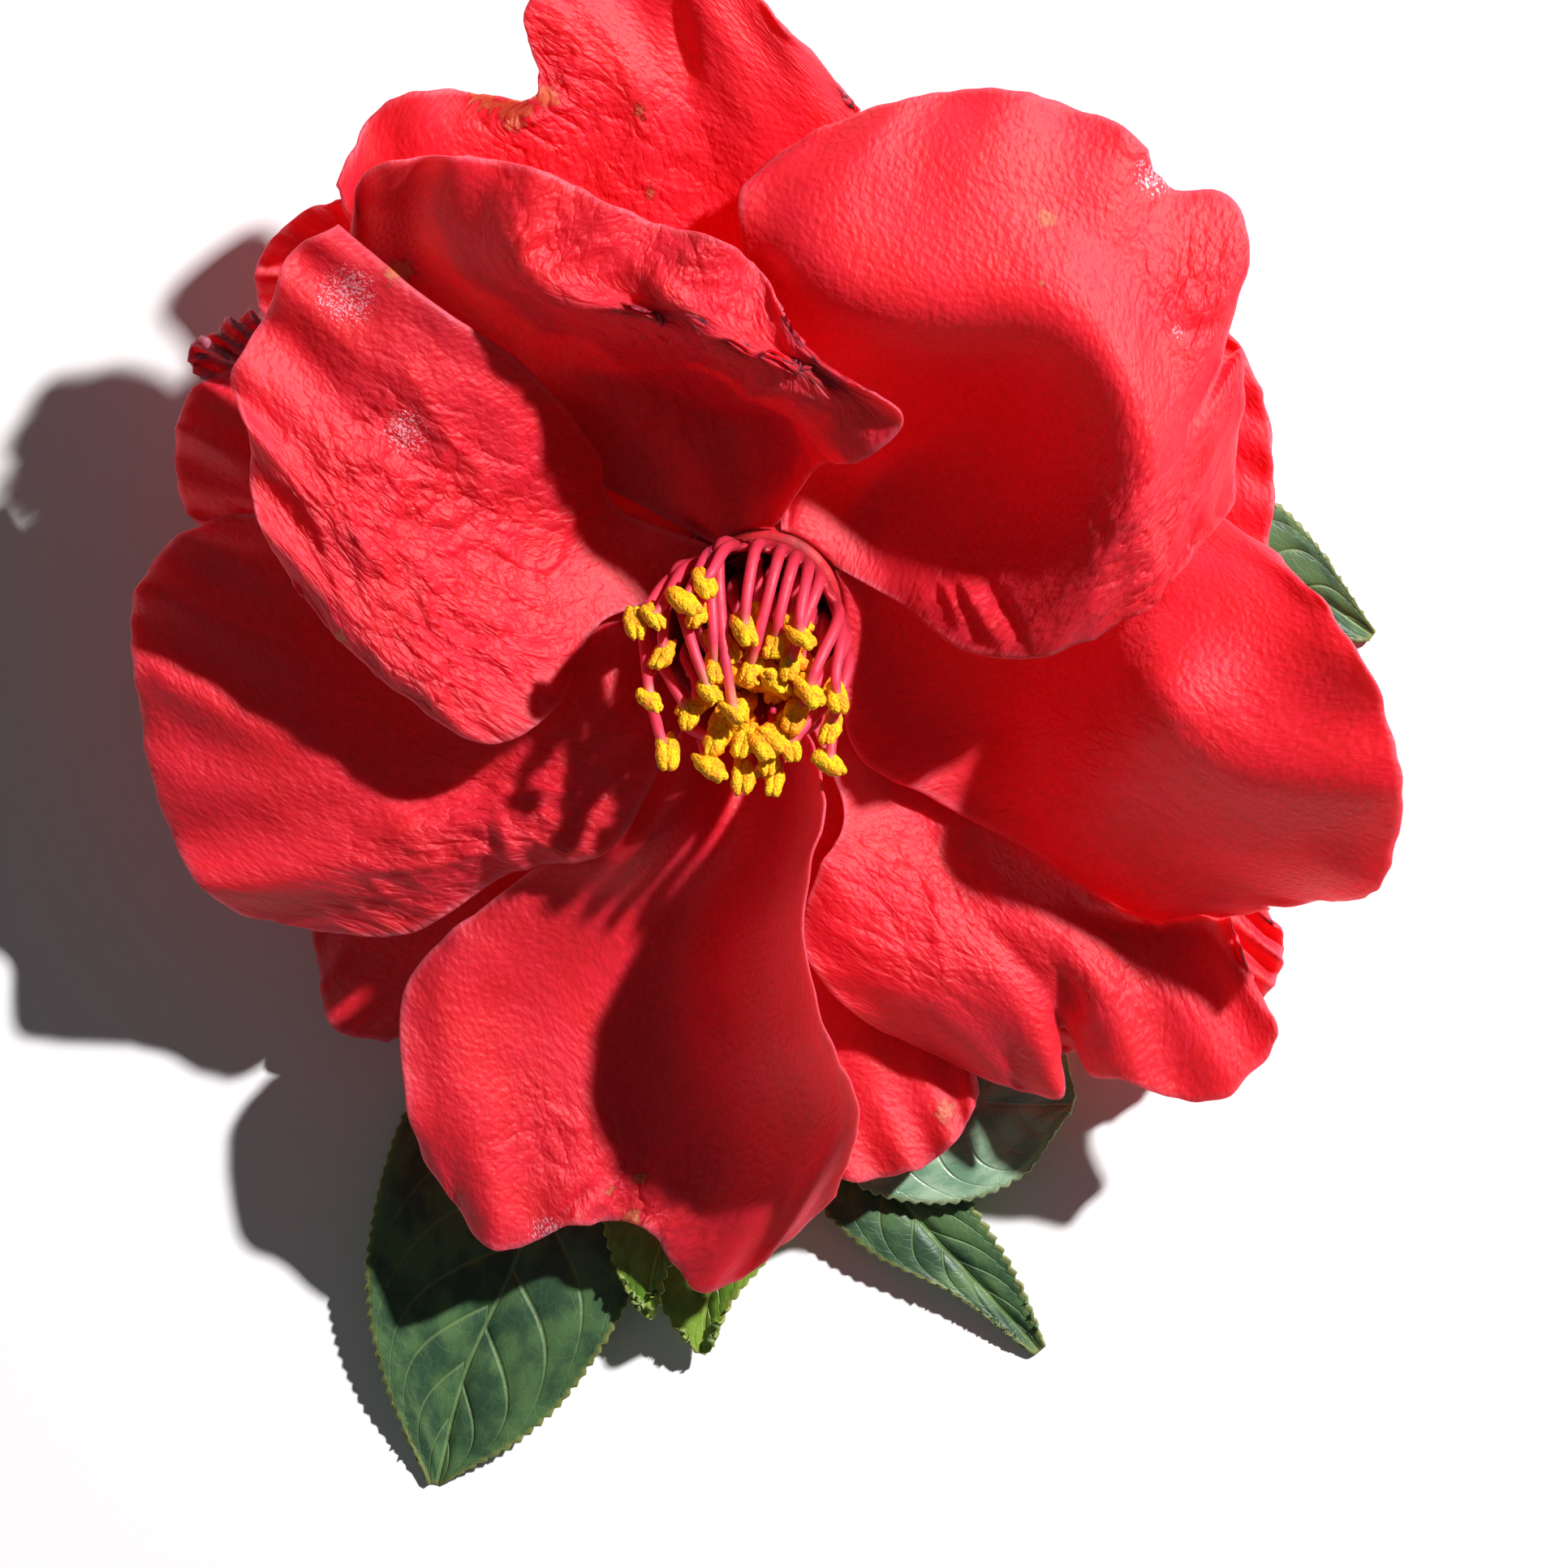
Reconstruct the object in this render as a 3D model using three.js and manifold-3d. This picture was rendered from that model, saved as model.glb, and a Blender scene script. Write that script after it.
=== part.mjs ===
// A cut camellia sprig, laid on a flat surface with its bloom facing up.
// Millimetres, +Z up. The origin is the centre of the flat rest under the twig, below the bloom.
// +X and +Y lie in the surface. The bloom nods a little towards -Y, as it does on the bush.
import * as THREE from "three";
import { mergeVertices } from "three/addons/utils/BufferGeometryUtils.js";
import Module from "manifold-3d";

const wasm = await Module();
wasm.setup();

// ---------------------------------------------------------------- driving dimensions
const PETAL_THICKNESS = 0.6;
const LEAF_THICKNESS = 0.6;
const LAYER_GAP = 0.55; // clear space kept between blades that lie over each other
const SEAT_GAP = 0.3; // between a piece and the piece that carries it

const BLOOM_BASE = new THREE.Vector3(-1.3, -4.5, 18); // where the stamens stand
const BLOOM_AXIS = new THREE.Vector3(-0.134, -0.313, 0.94).normalize();

// The ring on which the petals of a whorl are seated: distance from the axis, height above the base.
const CLAW_RING = { inner: [6.7, 1.6], outer: [8.3, -0.4] };

// A petal is worked out on a fine grid; a facet takes two of its steps.
const PETAL_ALONG = 20;
const PETAL_ACROSS = 20;
const FACET_STEPS = 2;

// A leaf has one tooth to every two steps along its margin.
const LEAF_ALONG = 24;
const LEAF_ACROSS = 2;
const TOOTH_HEIGHT = 0.55;

const STAMEN_TUBE = { foot: 5.9, mouth: 6.9, wall: 1.1, height: 7 };
const ANTHER_LENGTH = 3.4;
const ANTHER_RADIUS = 1.0;

// ---------------------------------------------------------------- small helpers
const clamp01 = (t) => Math.min(1, Math.max(0, t));
const bell = (t, width) => Math.exp(-((t / width) ** 2));

// Two directions across the bloom's axis: the first points along +X as nearly as it can.
const ACROSS_X = new THREE.Vector3(1, 0, 0).addScaledVector(BLOOM_AXIS, -BLOOM_AXIS.x).normalize();
const ACROSS_Y = new THREE.Vector3().crossVectors(BLOOM_AXIS, ACROSS_X);

// A point of the bloom: angle round its axis in degrees, distance from the axis, height above the base.
function bloomPoint(degrees, radius, height) {
  const a = THREE.MathUtils.degToRad(degrees);
  return BLOOM_BASE.clone()
    .addScaledVector(ACROSS_X, radius * Math.cos(a))
    .addScaledVector(ACROSS_Y, radius * Math.sin(a))
    .addScaledVector(BLOOM_AXIS, height);
}

// A smooth curve through equally spaced numbers, read at t from 0 to 1.
function through(values, t) {
  const spans = values.length - 1;
  const i = Math.min(spans - 1, Math.floor(t * spans));
  const f = t * spans - i;
  const b = values[i];
  const c = values[i + 1];
  const a = i > 0 ? values[i - 1] : 2 * b - c;
  const d = i + 2 <= spans ? values[i + 2] : 2 * c - b;
  return b + 0.5 * f * (c - a + f * (2 * a - 5 * b + 4 * c - d + f * (3 * (b - c) + d - a)));
}

// A point of the surface through rows of points: `along` runs from the first row to the last,
// `across` from the first point of every row to its last.
function onRows(rows, along, across) {
  const [x, y, z] = [0, 1, 2].map((axis) =>
    through(rows.map((row) => through(row.map((point) => point[axis]), across)), along),
  );
  return new THREE.Vector3(x, y, z);
}

// ---------------------------------------------------------------- petals
// A petal goes through five rows of points beyond its claw; the last row is its tip margin.
// Each row runs from the petal's left to its right, seen from the bloom's centre looking out.
// claw: half of the angle that the claw takes on its ring.
// roll: how far the left margin, right margin and tip margin bend down, in mm.
// notches: [place across from -1 to 1, depth as a share of the length, width]
// folds: [place across, width, height in mm], a pleat that grows from the claw to the tip.
// frill: [height in mm, waves round the margin, phase]
// Upper petals come first: each later one is settled under those before it.
const PETALS = [
  {
    name: "petal_inner_left", whorl: "inner", angle: 158, claw: 23.5,
    roll: [1.2, 0.8, 2.4], frill: [0.6, 5, 0.4], notches: [], folds: [[-0.25, 0.16, 1.1], [0.3, 0.2, -0.9]],
    rows: [
      [[-15, -6.5, 22], [-15, -1, 20.5], [-14, 3, 20.5]],
      [[-18.7, -13.5, 26.5], [-21, -2.5, 24], [-15.5, 7.5, 23.5]],
      [[-25, -16.5, 28.5], [-29, 1, 28.5], [-21, 14, 31]],
      [[-35, -9.8, 31], [-36, 6, 32], [-29, 19.5, 35]],
      [[-40, -3.8, 33], [-43.3, 2, 34], [-44, 9, 34.5], [-45.2, 13.5, 34.5], [-42.2, 19, 35],
        [-40.3, 23.5, 35], [-36.5, 25.8, 35.5]],
    ],
  },
  {
    name: "petal_inner_upper_left", whorl: "inner", angle: 107, claw: 23.5,
    roll: [1.5, -0.6, 3.2], frill: [0.7, 7, 1.3], notches: [],
    folds: [[0.35, 0.1, -1.2], [0.55, 0.1, 1], [0.8, 0.1, -1.2]],
    rows: [
      [[-13.5, 4, 18.5], [-9.5, 6.5, 19.5], [-4, 8.5, 21], [0, 8, 25], [2.5, 6, 30]],
      [[-21, 8, 20.5], [-15, 11.5, 21], [-8.5, 13, 26], [-2, 12, 34], [6, 6.2, 39]],
      [[-29, 13, 22.5], [-22.5, 16.5, 24.5], [-13, 17.5, 37], [-4, 15.5, 40], [9.5, 9.5, 42]],
      [[-36, 20, 26], [-30, 23, 27.5], [-22, 21.5, 38.5], [-11, 20, 40.5], [5, 13, 42]],
      [[-35.8, 26, 35.5], [-34, 29.8, 41], [-28, 31, 43], [-20.5, 30, 43.5], [-12, 26.2, 43.5],
        [-3.5, 23.3, 43.5], [1, 16.2, 43]],
    ],
  },
  {
    name: "petal_inner_upper_right", whorl: "inner", angle: 55, claw: 23.5,
    roll: [2.5, 2.4, 5.5], frill: [0.6, 6, 0], notches: [[0.17, 0.05, 0.07], [0.55, 0.09, 0.05]],
    folds: [],
    rows: [
      [[-1, 8, 23.5], [8, 6, 20.3], [9.5, -5, 23.2]],
      [[-2.5, 16, 32], [6.5, 13.5, 29.5], [16, 10, 27.5], [18.5, 0, 28.5], [15, -9, 31]],
      [[-3.2, 23, 40], [7, 18.5, 41.3], [22, 16.5, 42.5], [28, 5.5, 41.5], [22.5, -9.3, 37]],
      [[-3.5, 28, 42], [9, 29, 43], [24, 26, 43], [33, 11.5, 41], [31, -4.5, 38.5]],
      [[-1, 31.5, 43], [7, 35, 44], [16, 36.6, 44.5], [26.5, 34, 45], [37, 26.8, 44],
        [37.6, 14.5, 42.5], [36.8, 3, 39]],
    ],
  },
  {
    name: "petal_inner_right", whorl: "inner", angle: 4, claw: 23.5,
    roll: [1.5, 0.5, 3], frill: [0.7, 5, 2], notches: [[0.75, 0.03, 0.05]], folds: [],
    rows: [
      [[14, 2, 20.2], [14.5, -3, 19.2], [13, -8, 18], [10, -13, 17.3], [6, -17.2, 18]],
      [[21, 4, 22.5], [23, -3, 23.5], [22.5, -9, 23], [17, -15, 17.5], [12.5, -21.2, 17]],
      [[29, 4, 28], [31.5, -5, 33], [30, -13, 36.5], [25, -20.5, 24.5], [21, -26, 17.8]],
      [[36, 2, 32], [41, -8, 38.5], [37.5, -19, 36.5], [33.5, -25, 25], [29.5, -31, 17.8]],
      [[40.5, -1, 37], [44.7, -6.5, 43.5], [48.3, -13, 44.5], [50.2, -21, 42], [48.8, -28.3, 35],
        [43, -30, 24.5], [37.5, -30.9, 19.5]],
    ],
  },
  {
    name: "petal_inner_lower_left", whorl: "inner", angle: -151, claw: 23.5,
    roll: [1.2, 1.5, 4.5], frill: [0.7, 6, 0.8], notches: [], folds: [[-0.6, 0.15, 1.2], [-0.35, 0.12, -0.8]],
    rows: [
      [[-9.5, -17, 24.5], [-13.5, -13, 23], [-15.5, -5, 20.5]],
      [[-14.5, -25.5, 25.5], [-21, -15.5, 22.5], [-25, -4, 20]],
      [[-22.5, -27.3, 23], [-30, -16, 20.5], [-34, -1, 21]],
      [[-31, -32.3, 20], [-41, -16.5, 22], [-41, 2, 22.5]],
      [[-39, -32.4, 19.5], [-47.5, -29.5, 20.5], [-52, -21.5, 22], [-54, -11, 23], [-53.7, -4, 23],
        [-50.5, 0.5, 23], [-45.5, 2.5, 22.5]],
    ],
  },
  {
    name: "petal_inner_bottom", whorl: "inner", angle: -99, claw: 23.5,
    roll: [0.6, 2, 2.6], frill: [0.6, 6, 2.2], notches: [], folds: [],
    rows: [
      [[3.2, -21, 33.5], [0.5, -22, 24.5], [-4, -22.5, 20.5], [-9, -22.8, 25.5], [-13.5, -22.5, 24]],
      [[1.2, -30.5, 34], [-1.8, -31.5, 24], [-8, -31.5, 16], [-15.5, -30.5, 19.5], [-22, -28, 21]],
      [[3, -39, 31], [-1, -40.5, 21], [-9.5, -41, 13.5], [-21, -39, 16], [-31, -36, 20]],
      [[6, -47, 26], [2, -49, 18], [-9, -50, 12.5], [-21, -48.5, 14.5], [-31.5, -46, 19]],
      [[4.3, -54.5, 18], [-1.5, -60, 13.5], [-7, -62.5, 11.5], [-12, -57, 13], [-18, -57, 14.5],
        [-24.5, -58.8, 15], [-30, -51.5, 17]],
    ],
  },
  {
    name: "petal_inner_lower_right", whorl: "inner", angle: -48, claw: 23.5,
    roll: [0.5, 1.2, 2.2], frill: [0.6, 6, 3], notches: [[0.17, 0.13, 0.05]],
    folds: [[0.2, 0.1, -1.3], [-0.1, 0.14, 0.8]],
    rows: [
      [[13, -13, 13.8], [9, -18.5, 14.8], [5, -22, 17.4]],
      [[22, -19, 13.8], [15, -25, 16], [3, -27, 19]],
      [[30, -24, 14.8], [20, -31, 18], [1.5, -33, 18]],
      [[36, -29, 16.4], [25, -37, 18.6], [5, -38.5, 16.5]],
      [[38, -34.5, 19.4], [40.8, -41, 19.5], [35.5, -46.5, 17.5], [27, -44.5, 17], [22.5, -46.3, 15.5],
        [17, -44.8, 13.5], [10, -41.5, 13.5]],
    ],
  },
  {
    name: "petal_outer_top", whorl: "outer", angle: 98, claw: 15,
    roll: [-1.5, 1.5, 1.5], frill: [0.6, 6, 0.5], notches: [], folds: [[0.28, 0.14, -1], [-0.1, 0.14, 0.7]],
    rows: [
      [[-9, 10, 22], [-4, 11, 22], [1.5, 10, 22.5]],
      [[-18, 16, 25], [-7, 20, 25.5], [5, 18, 26]],
      [[-28, 21, 28], [-10, 28, 29.4], [7, 27, 30]],
      [[-35, 25.5, 31], [-24, 31, 33], [-13, 36, 33.5], [-3, 36.5, 35], [6.5, 34, 34.2]],
      [[-36.5, 29, 33], [-33.5, 35, 34.5], [-27.5, 36.8, 35], [-20, 36.2, 35.3], [-21, 43, 36.5],
        [-15, 48.5, 37], [-6, 47, 38.4], [0.5, 41.5, 37.7], [5.5, 36, 35.7]],
    ],
  },
  {
    name: "petal_outer_right", whorl: "outer", angle: 35, claw: 15,
    roll: [0.8, 0.8, 2], frill: [0.5, 5, 1.4], notches: [], folds: [],
    rows: [
      [[9, 7, 19], [12, 3, 18.5], [13.5, -2, 18.5]],
      [[16, 13, 21], [20, 6.5, 20.5], [21, -2, 20]],
      [[24, 17, 23.5], [28, 9, 22.5], [28, -3, 22]],
      [[31, 19.5, 26], [35, 9.5, 25], [35, -4, 24]],
      [[35.5, 19, 28], [38.8, 14, 28], [40.3, 7.5, 27.5], [40.2, 1.5, 27], [39, -4, 26]],
    ],
  },
  {
    name: "petal_outer_upper_left", whorl: "outer", angle: 140, claw: 15,
    roll: [0.8, 0.8, 2], frill: [0.5, 5, 2.4], notches: [], folds: [[0, 0.2, 0.8]],
    rows: [
      [[-15, 3, 20], [-11, 8, 20], [-8, 10, 20.5]],
      [[-23, 7, 21.5], [-19, 13, 21.5], [-15, 16, 22]],
      [[-30, 11.5, 23], [-27, 17.5, 23], [-22, 21, 24]],
      [[-37, 15, 24.5], [-35, 21.5, 25], [-29, 25.5, 26]],
      [[-42.5, 17.5, 25.5], [-43.7, 21.5, 26], [-41.8, 25.5, 26.5], [-38, 27.8, 27], [-33.5, 28, 27]],
    ],
  },
  {
    name: "petal_outer_left", whorl: "outer", angle: 178, claw: 15,
    roll: [0.8, 0.8, 2.4], frill: [0.5, 5, 0.2], notches: [], folds: [[0.1, 0.2, 0.7]],
    rows: [
      [[-14.5, -7.5, 17.5], [-14, -2.5, 17.5], [-13.5, 1.6, 18]],
      [[-23, -6, 17.5], [-24, 0.5, 18], [-22, 6, 18.5]],
      [[-32, -4.5, 17.5], [-34, 3.5, 18.5], [-31, 9.5, 19.5]],
      [[-41, -2.5, 16.5], [-43, 5.5, 19], [-40, 13, 20]],
      [[-47, 0, 15.5], [-50.3, 3.5, 17.5], [-50.6, 9, 19], [-48.8, 13, 19.5], [-45, 14.8, 19.5]],
    ],
  },
  {
    name: "petal_withered", whorl: "outer", angle: 159, claw: 3.2,
    roll: [0.3, 0.3, 0.8], frill: [0.9, 7, 0.9], notches: [[0.3, 0.04, 0.1]], folds: [[0, 0.3, 0.9]],
    rows: [
      [[-15, 2.6, 16.4], [-15, 3.6, 16.4], [-14.5, 4.6, 16.4]],
      [[-24, 6, 15.4], [-24, 7.5, 15.4], [-23, 9, 15.4]],
      [[-33, 9, 15.4], [-33, 11.5, 15.8], [-32, 13.5, 15.4]],
      [[-42, 11.5, 15.4], [-42.5, 14, 17], [-41, 16.5, 17]],
      [[-47.5, 13.5, 15.6], [-49.3, 14.7, 18], [-49, 16.8, 18.6], [-46.8, 18.5, 18], [-43.5, 19.3, 17.5]],
    ],
  },
  {
    name: "petal_outer_lower_left", whorl: "outer", angle: -130, claw: 15,
    roll: [0.8, 0.8, 2], frill: [0.5, 5, 1.1], notches: [], folds: [],
    rows: [
      [[-9, -18, 15], [-11, -15.5, 15], [-14, -13, 15.5]],
      [[-15, -25, 13], [-18, -21, 12.5], [-22, -16, 13]],
      [[-21, -32, 11], [-25, -27.5, 11], [-29, -20.5, 11.5]],
      [[-27, -38.5, 9], [-32, -34, 9], [-36.5, -26.5, 10]],
      [[-31, -41.5, 8], [-35, -41.5, 7.8], [-38.3, -40, 7.8], [-39.2, -36, 8], [-40, -31, 9]],
    ],
  },
  {
    name: "petal_outer_bottom", whorl: "outer", angle: -78, claw: 15,
    roll: [0.8, 0.8, 1.6], frill: [0.5, 5, 1.9], notches: [], folds: [],
    rows: [
      [[6, -19, 15], [2, -20, 15], [-2, -20, 15]],
      [[10, -26.5, 13.5], [3, -28, 13.5], [-4.5, -28, 12.5]],
      [[13.5, -34, 11.4], [5, -36.5, 11.6], [-6, -36, 11]],
      [[16, -41, 10.3], [7, -45, 10.6], [-5, -44, 9.8]],
      [[16.4, -46, 11.5], [14.5, -49.6, 11.6], [10.5, -52.6, 11.4], [4, -53, 11.2], [-2, -51, 10.4]],
    ],
  },
  {
    name: "petal_outer_lower_right", whorl: "outer", angle: -28, claw: 15,
    roll: [0.8, 0.8, 1.5], frill: [0.9, 8, 0.6], notches: [[-0.8, 0.03, 0.08]], folds: [],
    rows: [
      [[13, -11, 16.5], [10, -15, 16], [7, -18, 15.5]],
      [[21, -15, 16], [16, -20.5, 15.5], [11, -26, 14.5]],
      [[29, -19.5, 15.5], [23, -27, 15], [14, -33, 13]],
      [[37, -25, 15], [31, -33, 14], [17, -39.5, 11.5]],
      [[40.5, -29, 14.5], [41.8, -34.5, 13.5], [39.5, -38.5, 12.5], [34, -42, 11.5], [23, -42.5, 10.5]],
    ],
  },
];

// ---------------------------------------------------------------- leaves
// Rows run from the blade's base to its tip, left to right as seen from the base looking out.
// stalk: the points of the leaf stalk, from the twig into the underside of the blade.
const LEAVES = [
  {
    name: "leaf_curled",
    stalk: [[1.3, -29, 2.7], [2.5, -32.5, 4.1], [6.3, -39, 4.6]],
    rows: [
      [[4.2, -35, 4.9], [3.8, -35.5, 4.9], [3.4, -36, 4.9]],
      [[9, -33.5, 5.8], [7, -39.5, 5], [2.8, -44.5, 5]],
      [[14.5, -34, 6.2], [11.5, -44, 5.3], [5.5, -53, 4.8]],
      [[19, -36.5, 6.2], [16, -46.5, 5.4], [13, -55.3, 4.4]],
      [[22.8, -40.5, 6.2], [20, -47, 5.6], [20, -53, 4.8]],
      [[24.5, -46.4, 6], [24.2, -47, 6], [23.8, -47.6, 6]],
    ],
  },
  {
    name: "leaf_shoot_left",
    stalk: [[-1.7, -37.5, 3.7], [-2.6, -40.5, 4.5], [-5, -46.5, 5.1]],
    rows: [
      [[-3.2, -43, 5], [-3.8, -43, 5], [-4.4, -43, 5]],
      [[-3.4, -47, 5.6], [-5.4, -47, 5.4], [-8.5, -47, 5.6]],
      [[-4.8, -51.5, 6], [-7.2, -51.5, 5.8], [-12, -51, 6]],
      [[-7, -56, 6.4], [-9.2, -56, 6.2], [-15, -55.5, 6.4]],
      [[-9.8, -60.7, 6.2], [-11, -60.7, 6.1], [-14.2, -60.3, 6.2]],
      [[-11, -65, 5.4], [-11.4, -65.1, 5.4], [-11.8, -65, 5.4]],
    ],
  },
  {
    name: "leaf_shoot_right",
    stalk: [[-2.1, -44.7, 1.9], [-2.2, -46.5, 2.7], [-2.6, -49.5, 3.4]],
    rows: [
      [[-1.6, -47, 3.6], [-2.2, -47, 3.6], [-2.8, -47, 3.6]],
      [[-0.4, -50, 4], [-2.8, -50.5, 3.7], [-5.2, -50, 4]],
      [[0, -54.5, 4.2], [-3.7, -55, 3.6], [-7.6, -54, 4.2]],
      [[-1.2, -59.5, 4], [-5, -59.8, 3.5], [-9.8, -59, 4]],
      [[-4.6, -63.8, 3.6], [-6.6, -64, 3.2], [-10.4, -63.6, 3.6]],
      [[-6.4, -68, 2.6], [-6.8, -68.2, 2.6], [-7.4, -68, 2.6]],
    ],
  },
  {
    name: "leaf_lower_right",
    stalk: [[0.6, -37, 1.9], [1.6, -40, 2.6], [4.5, -47.5, 3]],
    rows: [
      [[3.2, -42.6, 3.3], [2.7, -43, 3.3], [2.2, -43.4, 3.3]],
      [[8, -45, 3.6], [4.8, -48, 3.1], [1.4, -49.5, 3.4]],
      [[12, -49.5, 3.5], [8, -52.5, 3], [2.2, -54.5, 3.3]],
      [[15.8, -55.5, 3.2], [12, -57.6, 2.6], [7.5, -59.6, 3]],
      [[19.4, -61.3, 2.2], [16.8, -62.7, 1.8], [14.2, -63, 2.2]],
      [[22, -67.6, 0.75], [21.6, -68, 0.65], [21.1, -68.2, 0.75]],
    ],
  },
  {
    name: "leaf_lower_left",
    stalk: [[-3.2, -25, 2.3], [-5, -28, 3.4], [-11.5, -38, 3.9]],
    rows: [
      [[-7, -31.5, 4.4], [-7.6, -31.2, 4.4], [-8.3, -31, 4.4]],
      [[-7.5, -42, 4.6], [-13.5, -40, 4], [-22, -38, 4.7]],
      [[-10, -53, 4.4], [-18.5, -50, 3.4], [-31, -46, 4.4]],
      [[-13.2, -63.5, 3.9], [-23, -61, 2.8], [-35, -59, 4]],
      [[-20, -73.4, 2.4], [-27, -70, 1.7], [-34, -69.5, 2.6]],
      [[-28.8, -79.2, 0.75], [-29.4, -79.3, 0.65], [-30, -79.2, 0.75]],
    ],
  },
  {
    name: "leaf_right",
    stalk: [[2.7, -2, 2.9], [6, -1.8, 4], [13, -1.5, 4.6]],
    rows: [
      [[8, -1.2, 4.9], [8, -1.9, 4.9], [8, -2.6, 4.9]],
      [[15, 4.5, 5.8], [15.5, -1.5, 5.1], [15, -7, 5.5]],
      [[24, 7.5, 6], [24.5, -1, 5], [24, -10, 5.6]],
      [[33.5, 7, 5.5], [34, -1.5, 4.4], [34.5, -11, 5]],
      [[42.5, 2.9, 3.4], [43, -3.2, 2.4], [43, -8.5, 3]],
      [[50, -7, 0.75], [49.8, -7.4, 0.65], [49.5, -7.8, 0.75]],
    ],
  },
];

// ---------------------------------------------------------------- blades: petals and leaves alike
// A grid is a flat list of points; `along` and `across` are its numbers of steps.
function makeGrid(along, across, pointAt) {
  const grid = [];
  for (let i = 0; i <= along; i++)
    for (let j = 0; j <= across; j++) grid.push(pointAt(i / along, j / across));
  return { along, across, points: grid };
}

function gridPoint(grid, i, j) {
  const row = Math.min(grid.along, Math.max(0, i));
  const column = Math.min(grid.across, Math.max(0, j));
  return grid.points[row * (grid.across + 1) + column];
}

// The same grid with each point replaced by change(point, i, j).
function changeGrid(grid, change) {
  const width = grid.across + 1;
  const points = grid.points.map((point, k) => change(point, Math.floor(k / width), k % width));
  return { ...grid, points };
}

// Unit normals of a grid, facing up.
function gridNormals(grid) {
  const normals = changeGrid(grid, (_, i, j) => {
    const alongStep = gridPoint(grid, i + 1, j).clone().sub(gridPoint(grid, i - 1, j));
    const acrossStep = gridPoint(grid, i, j + 1).clone().sub(gridPoint(grid, i, j - 1));
    return acrossStep.cross(alongStep).normalize();
  }).points;
  const up = normals.reduce((sum, normal) => sum + normal.z, 0);
  return up < 0 ? normals.map((normal) => normal.negate()) : normals;
}

function underside(grid, thickness) {
  const normals = gridNormals(grid);
  const points = grid.points.map((point, k) => point.clone().addScaledVector(normals[k], -thickness));
  return { ...grid, points };
}

function petalGrid(petal) {
  const [radius, height] = CLAW_RING[petal.whorl];
  const claw = [petal.claw, 0, -petal.claw].map((turn) =>
    bloomPoint(petal.angle + turn, radius, height).toArray(),
  );
  const rows = [claw, ...petal.rows];
  const flat = makeGrid(PETAL_ALONG, PETAL_ACROSS, (along, across) => {
    let reach = along;
    for (const [place, depth, width] of petal.notches)
      reach *= 1 - depth * bell(2 * across - 1 - place, width) * along ** 4;
    return onRows(rows, reach, across);
  });
  // Margins roll down, pleats rise from the claw, and the margin is frilled.
  const margin = 0.4;
  return changeGrid(flat, (point, i, j) => {
    const along = i / PETAL_ALONG;
    const across = (2 * j) / PETAL_ACROSS - 1;
    const side = clamp01((Math.abs(across) - 1 + margin) / margin) ** 2 * clamp01(along * 2.5 - 0.6);
    const tip = clamp01((along - 1 + margin) / margin) ** 2;
    let rise = -petal.roll[across < 0 ? 0 : 1] * side - petal.roll[2] * tip;
    for (const [place, width, heightOfFold] of petal.folds)
      rise += heightOfFold * bell(across - place, width) * along ** 1.5;
    const [frillHeight, waves, phase] = petal.frill;
    const round = 0.5 * across * (1 + along);
    rise += frillHeight * Math.max(side, tip) * Math.sin(Math.PI * waves * round + phase);
    return point.clone().setZ(point.z + rise);
  });
}

function leafGrid(leaf) {
  const smooth = makeGrid(LEAF_ALONG, LEAF_ACROSS, (along, across) => onRows(leaf.rows, along, across));
  return changeGrid(smooth, (point, i, j) => {
    const onMargin = j === 0 || j === LEAF_ACROSS;
    if (!onMargin || i % 2 === 0 || i < 3 || i === LEAF_ALONG) return point;
    const outwards = point.clone().sub(gridPoint(smooth, i - 1, LEAF_ACROSS / 2)).normalize();
    return point.clone().addScaledVector(outwards, TOOTH_HEIGHT);
  });
}

// ---------------------------------------------------------------- settling layers
// The lowest point of everything laid so far, kept over a square map of the surface below.
const MAP_CELL = 0.75;
const MAP_HALF = 84;
const MAP_CELLS = Math.ceil((2 * MAP_HALF) / MAP_CELL);
const SKY = 1000;
const ceiling = new Float32Array(MAP_CELLS * MAP_CELLS).fill(SKY);
const cellOf = (x) => Math.floor((x + MAP_HALF) / MAP_CELL);

function addToCeiling(grid) {
  const samples = 8;
  for (let i = 0; i < grid.along * samples; i++)
    for (let j = 0; j < grid.across * samples; j++) {
      const [a, s] = [Math.floor(i / samples), (i % samples) / samples];
      const [b, t] = [Math.floor(j / samples), (j % samples) / samples];
      const near = gridPoint(grid, a, b).clone().lerp(gridPoint(grid, a + 1, b), s);
      const far = gridPoint(grid, a, b + 1).clone().lerp(gridPoint(grid, a + 1, b + 1), s);
      const point = near.lerp(far, t);
      const cell = cellOf(point.y) * MAP_CELLS + cellOf(point.x);
      ceiling[cell] = Math.min(ceiling[cell], point.z);
    }
}

function ceilingOver(point) {
  let lowest = SKY;
  for (let b = -1; b <= 1; b++)
    for (let a = -1; a <= 1; a++) {
      const cell = (cellOf(point.y) + b) * MAP_CELLS + cellOf(point.x) + a;
      lowest = Math.min(lowest, ceiling[cell]);
    }
  return lowest;
}

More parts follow.
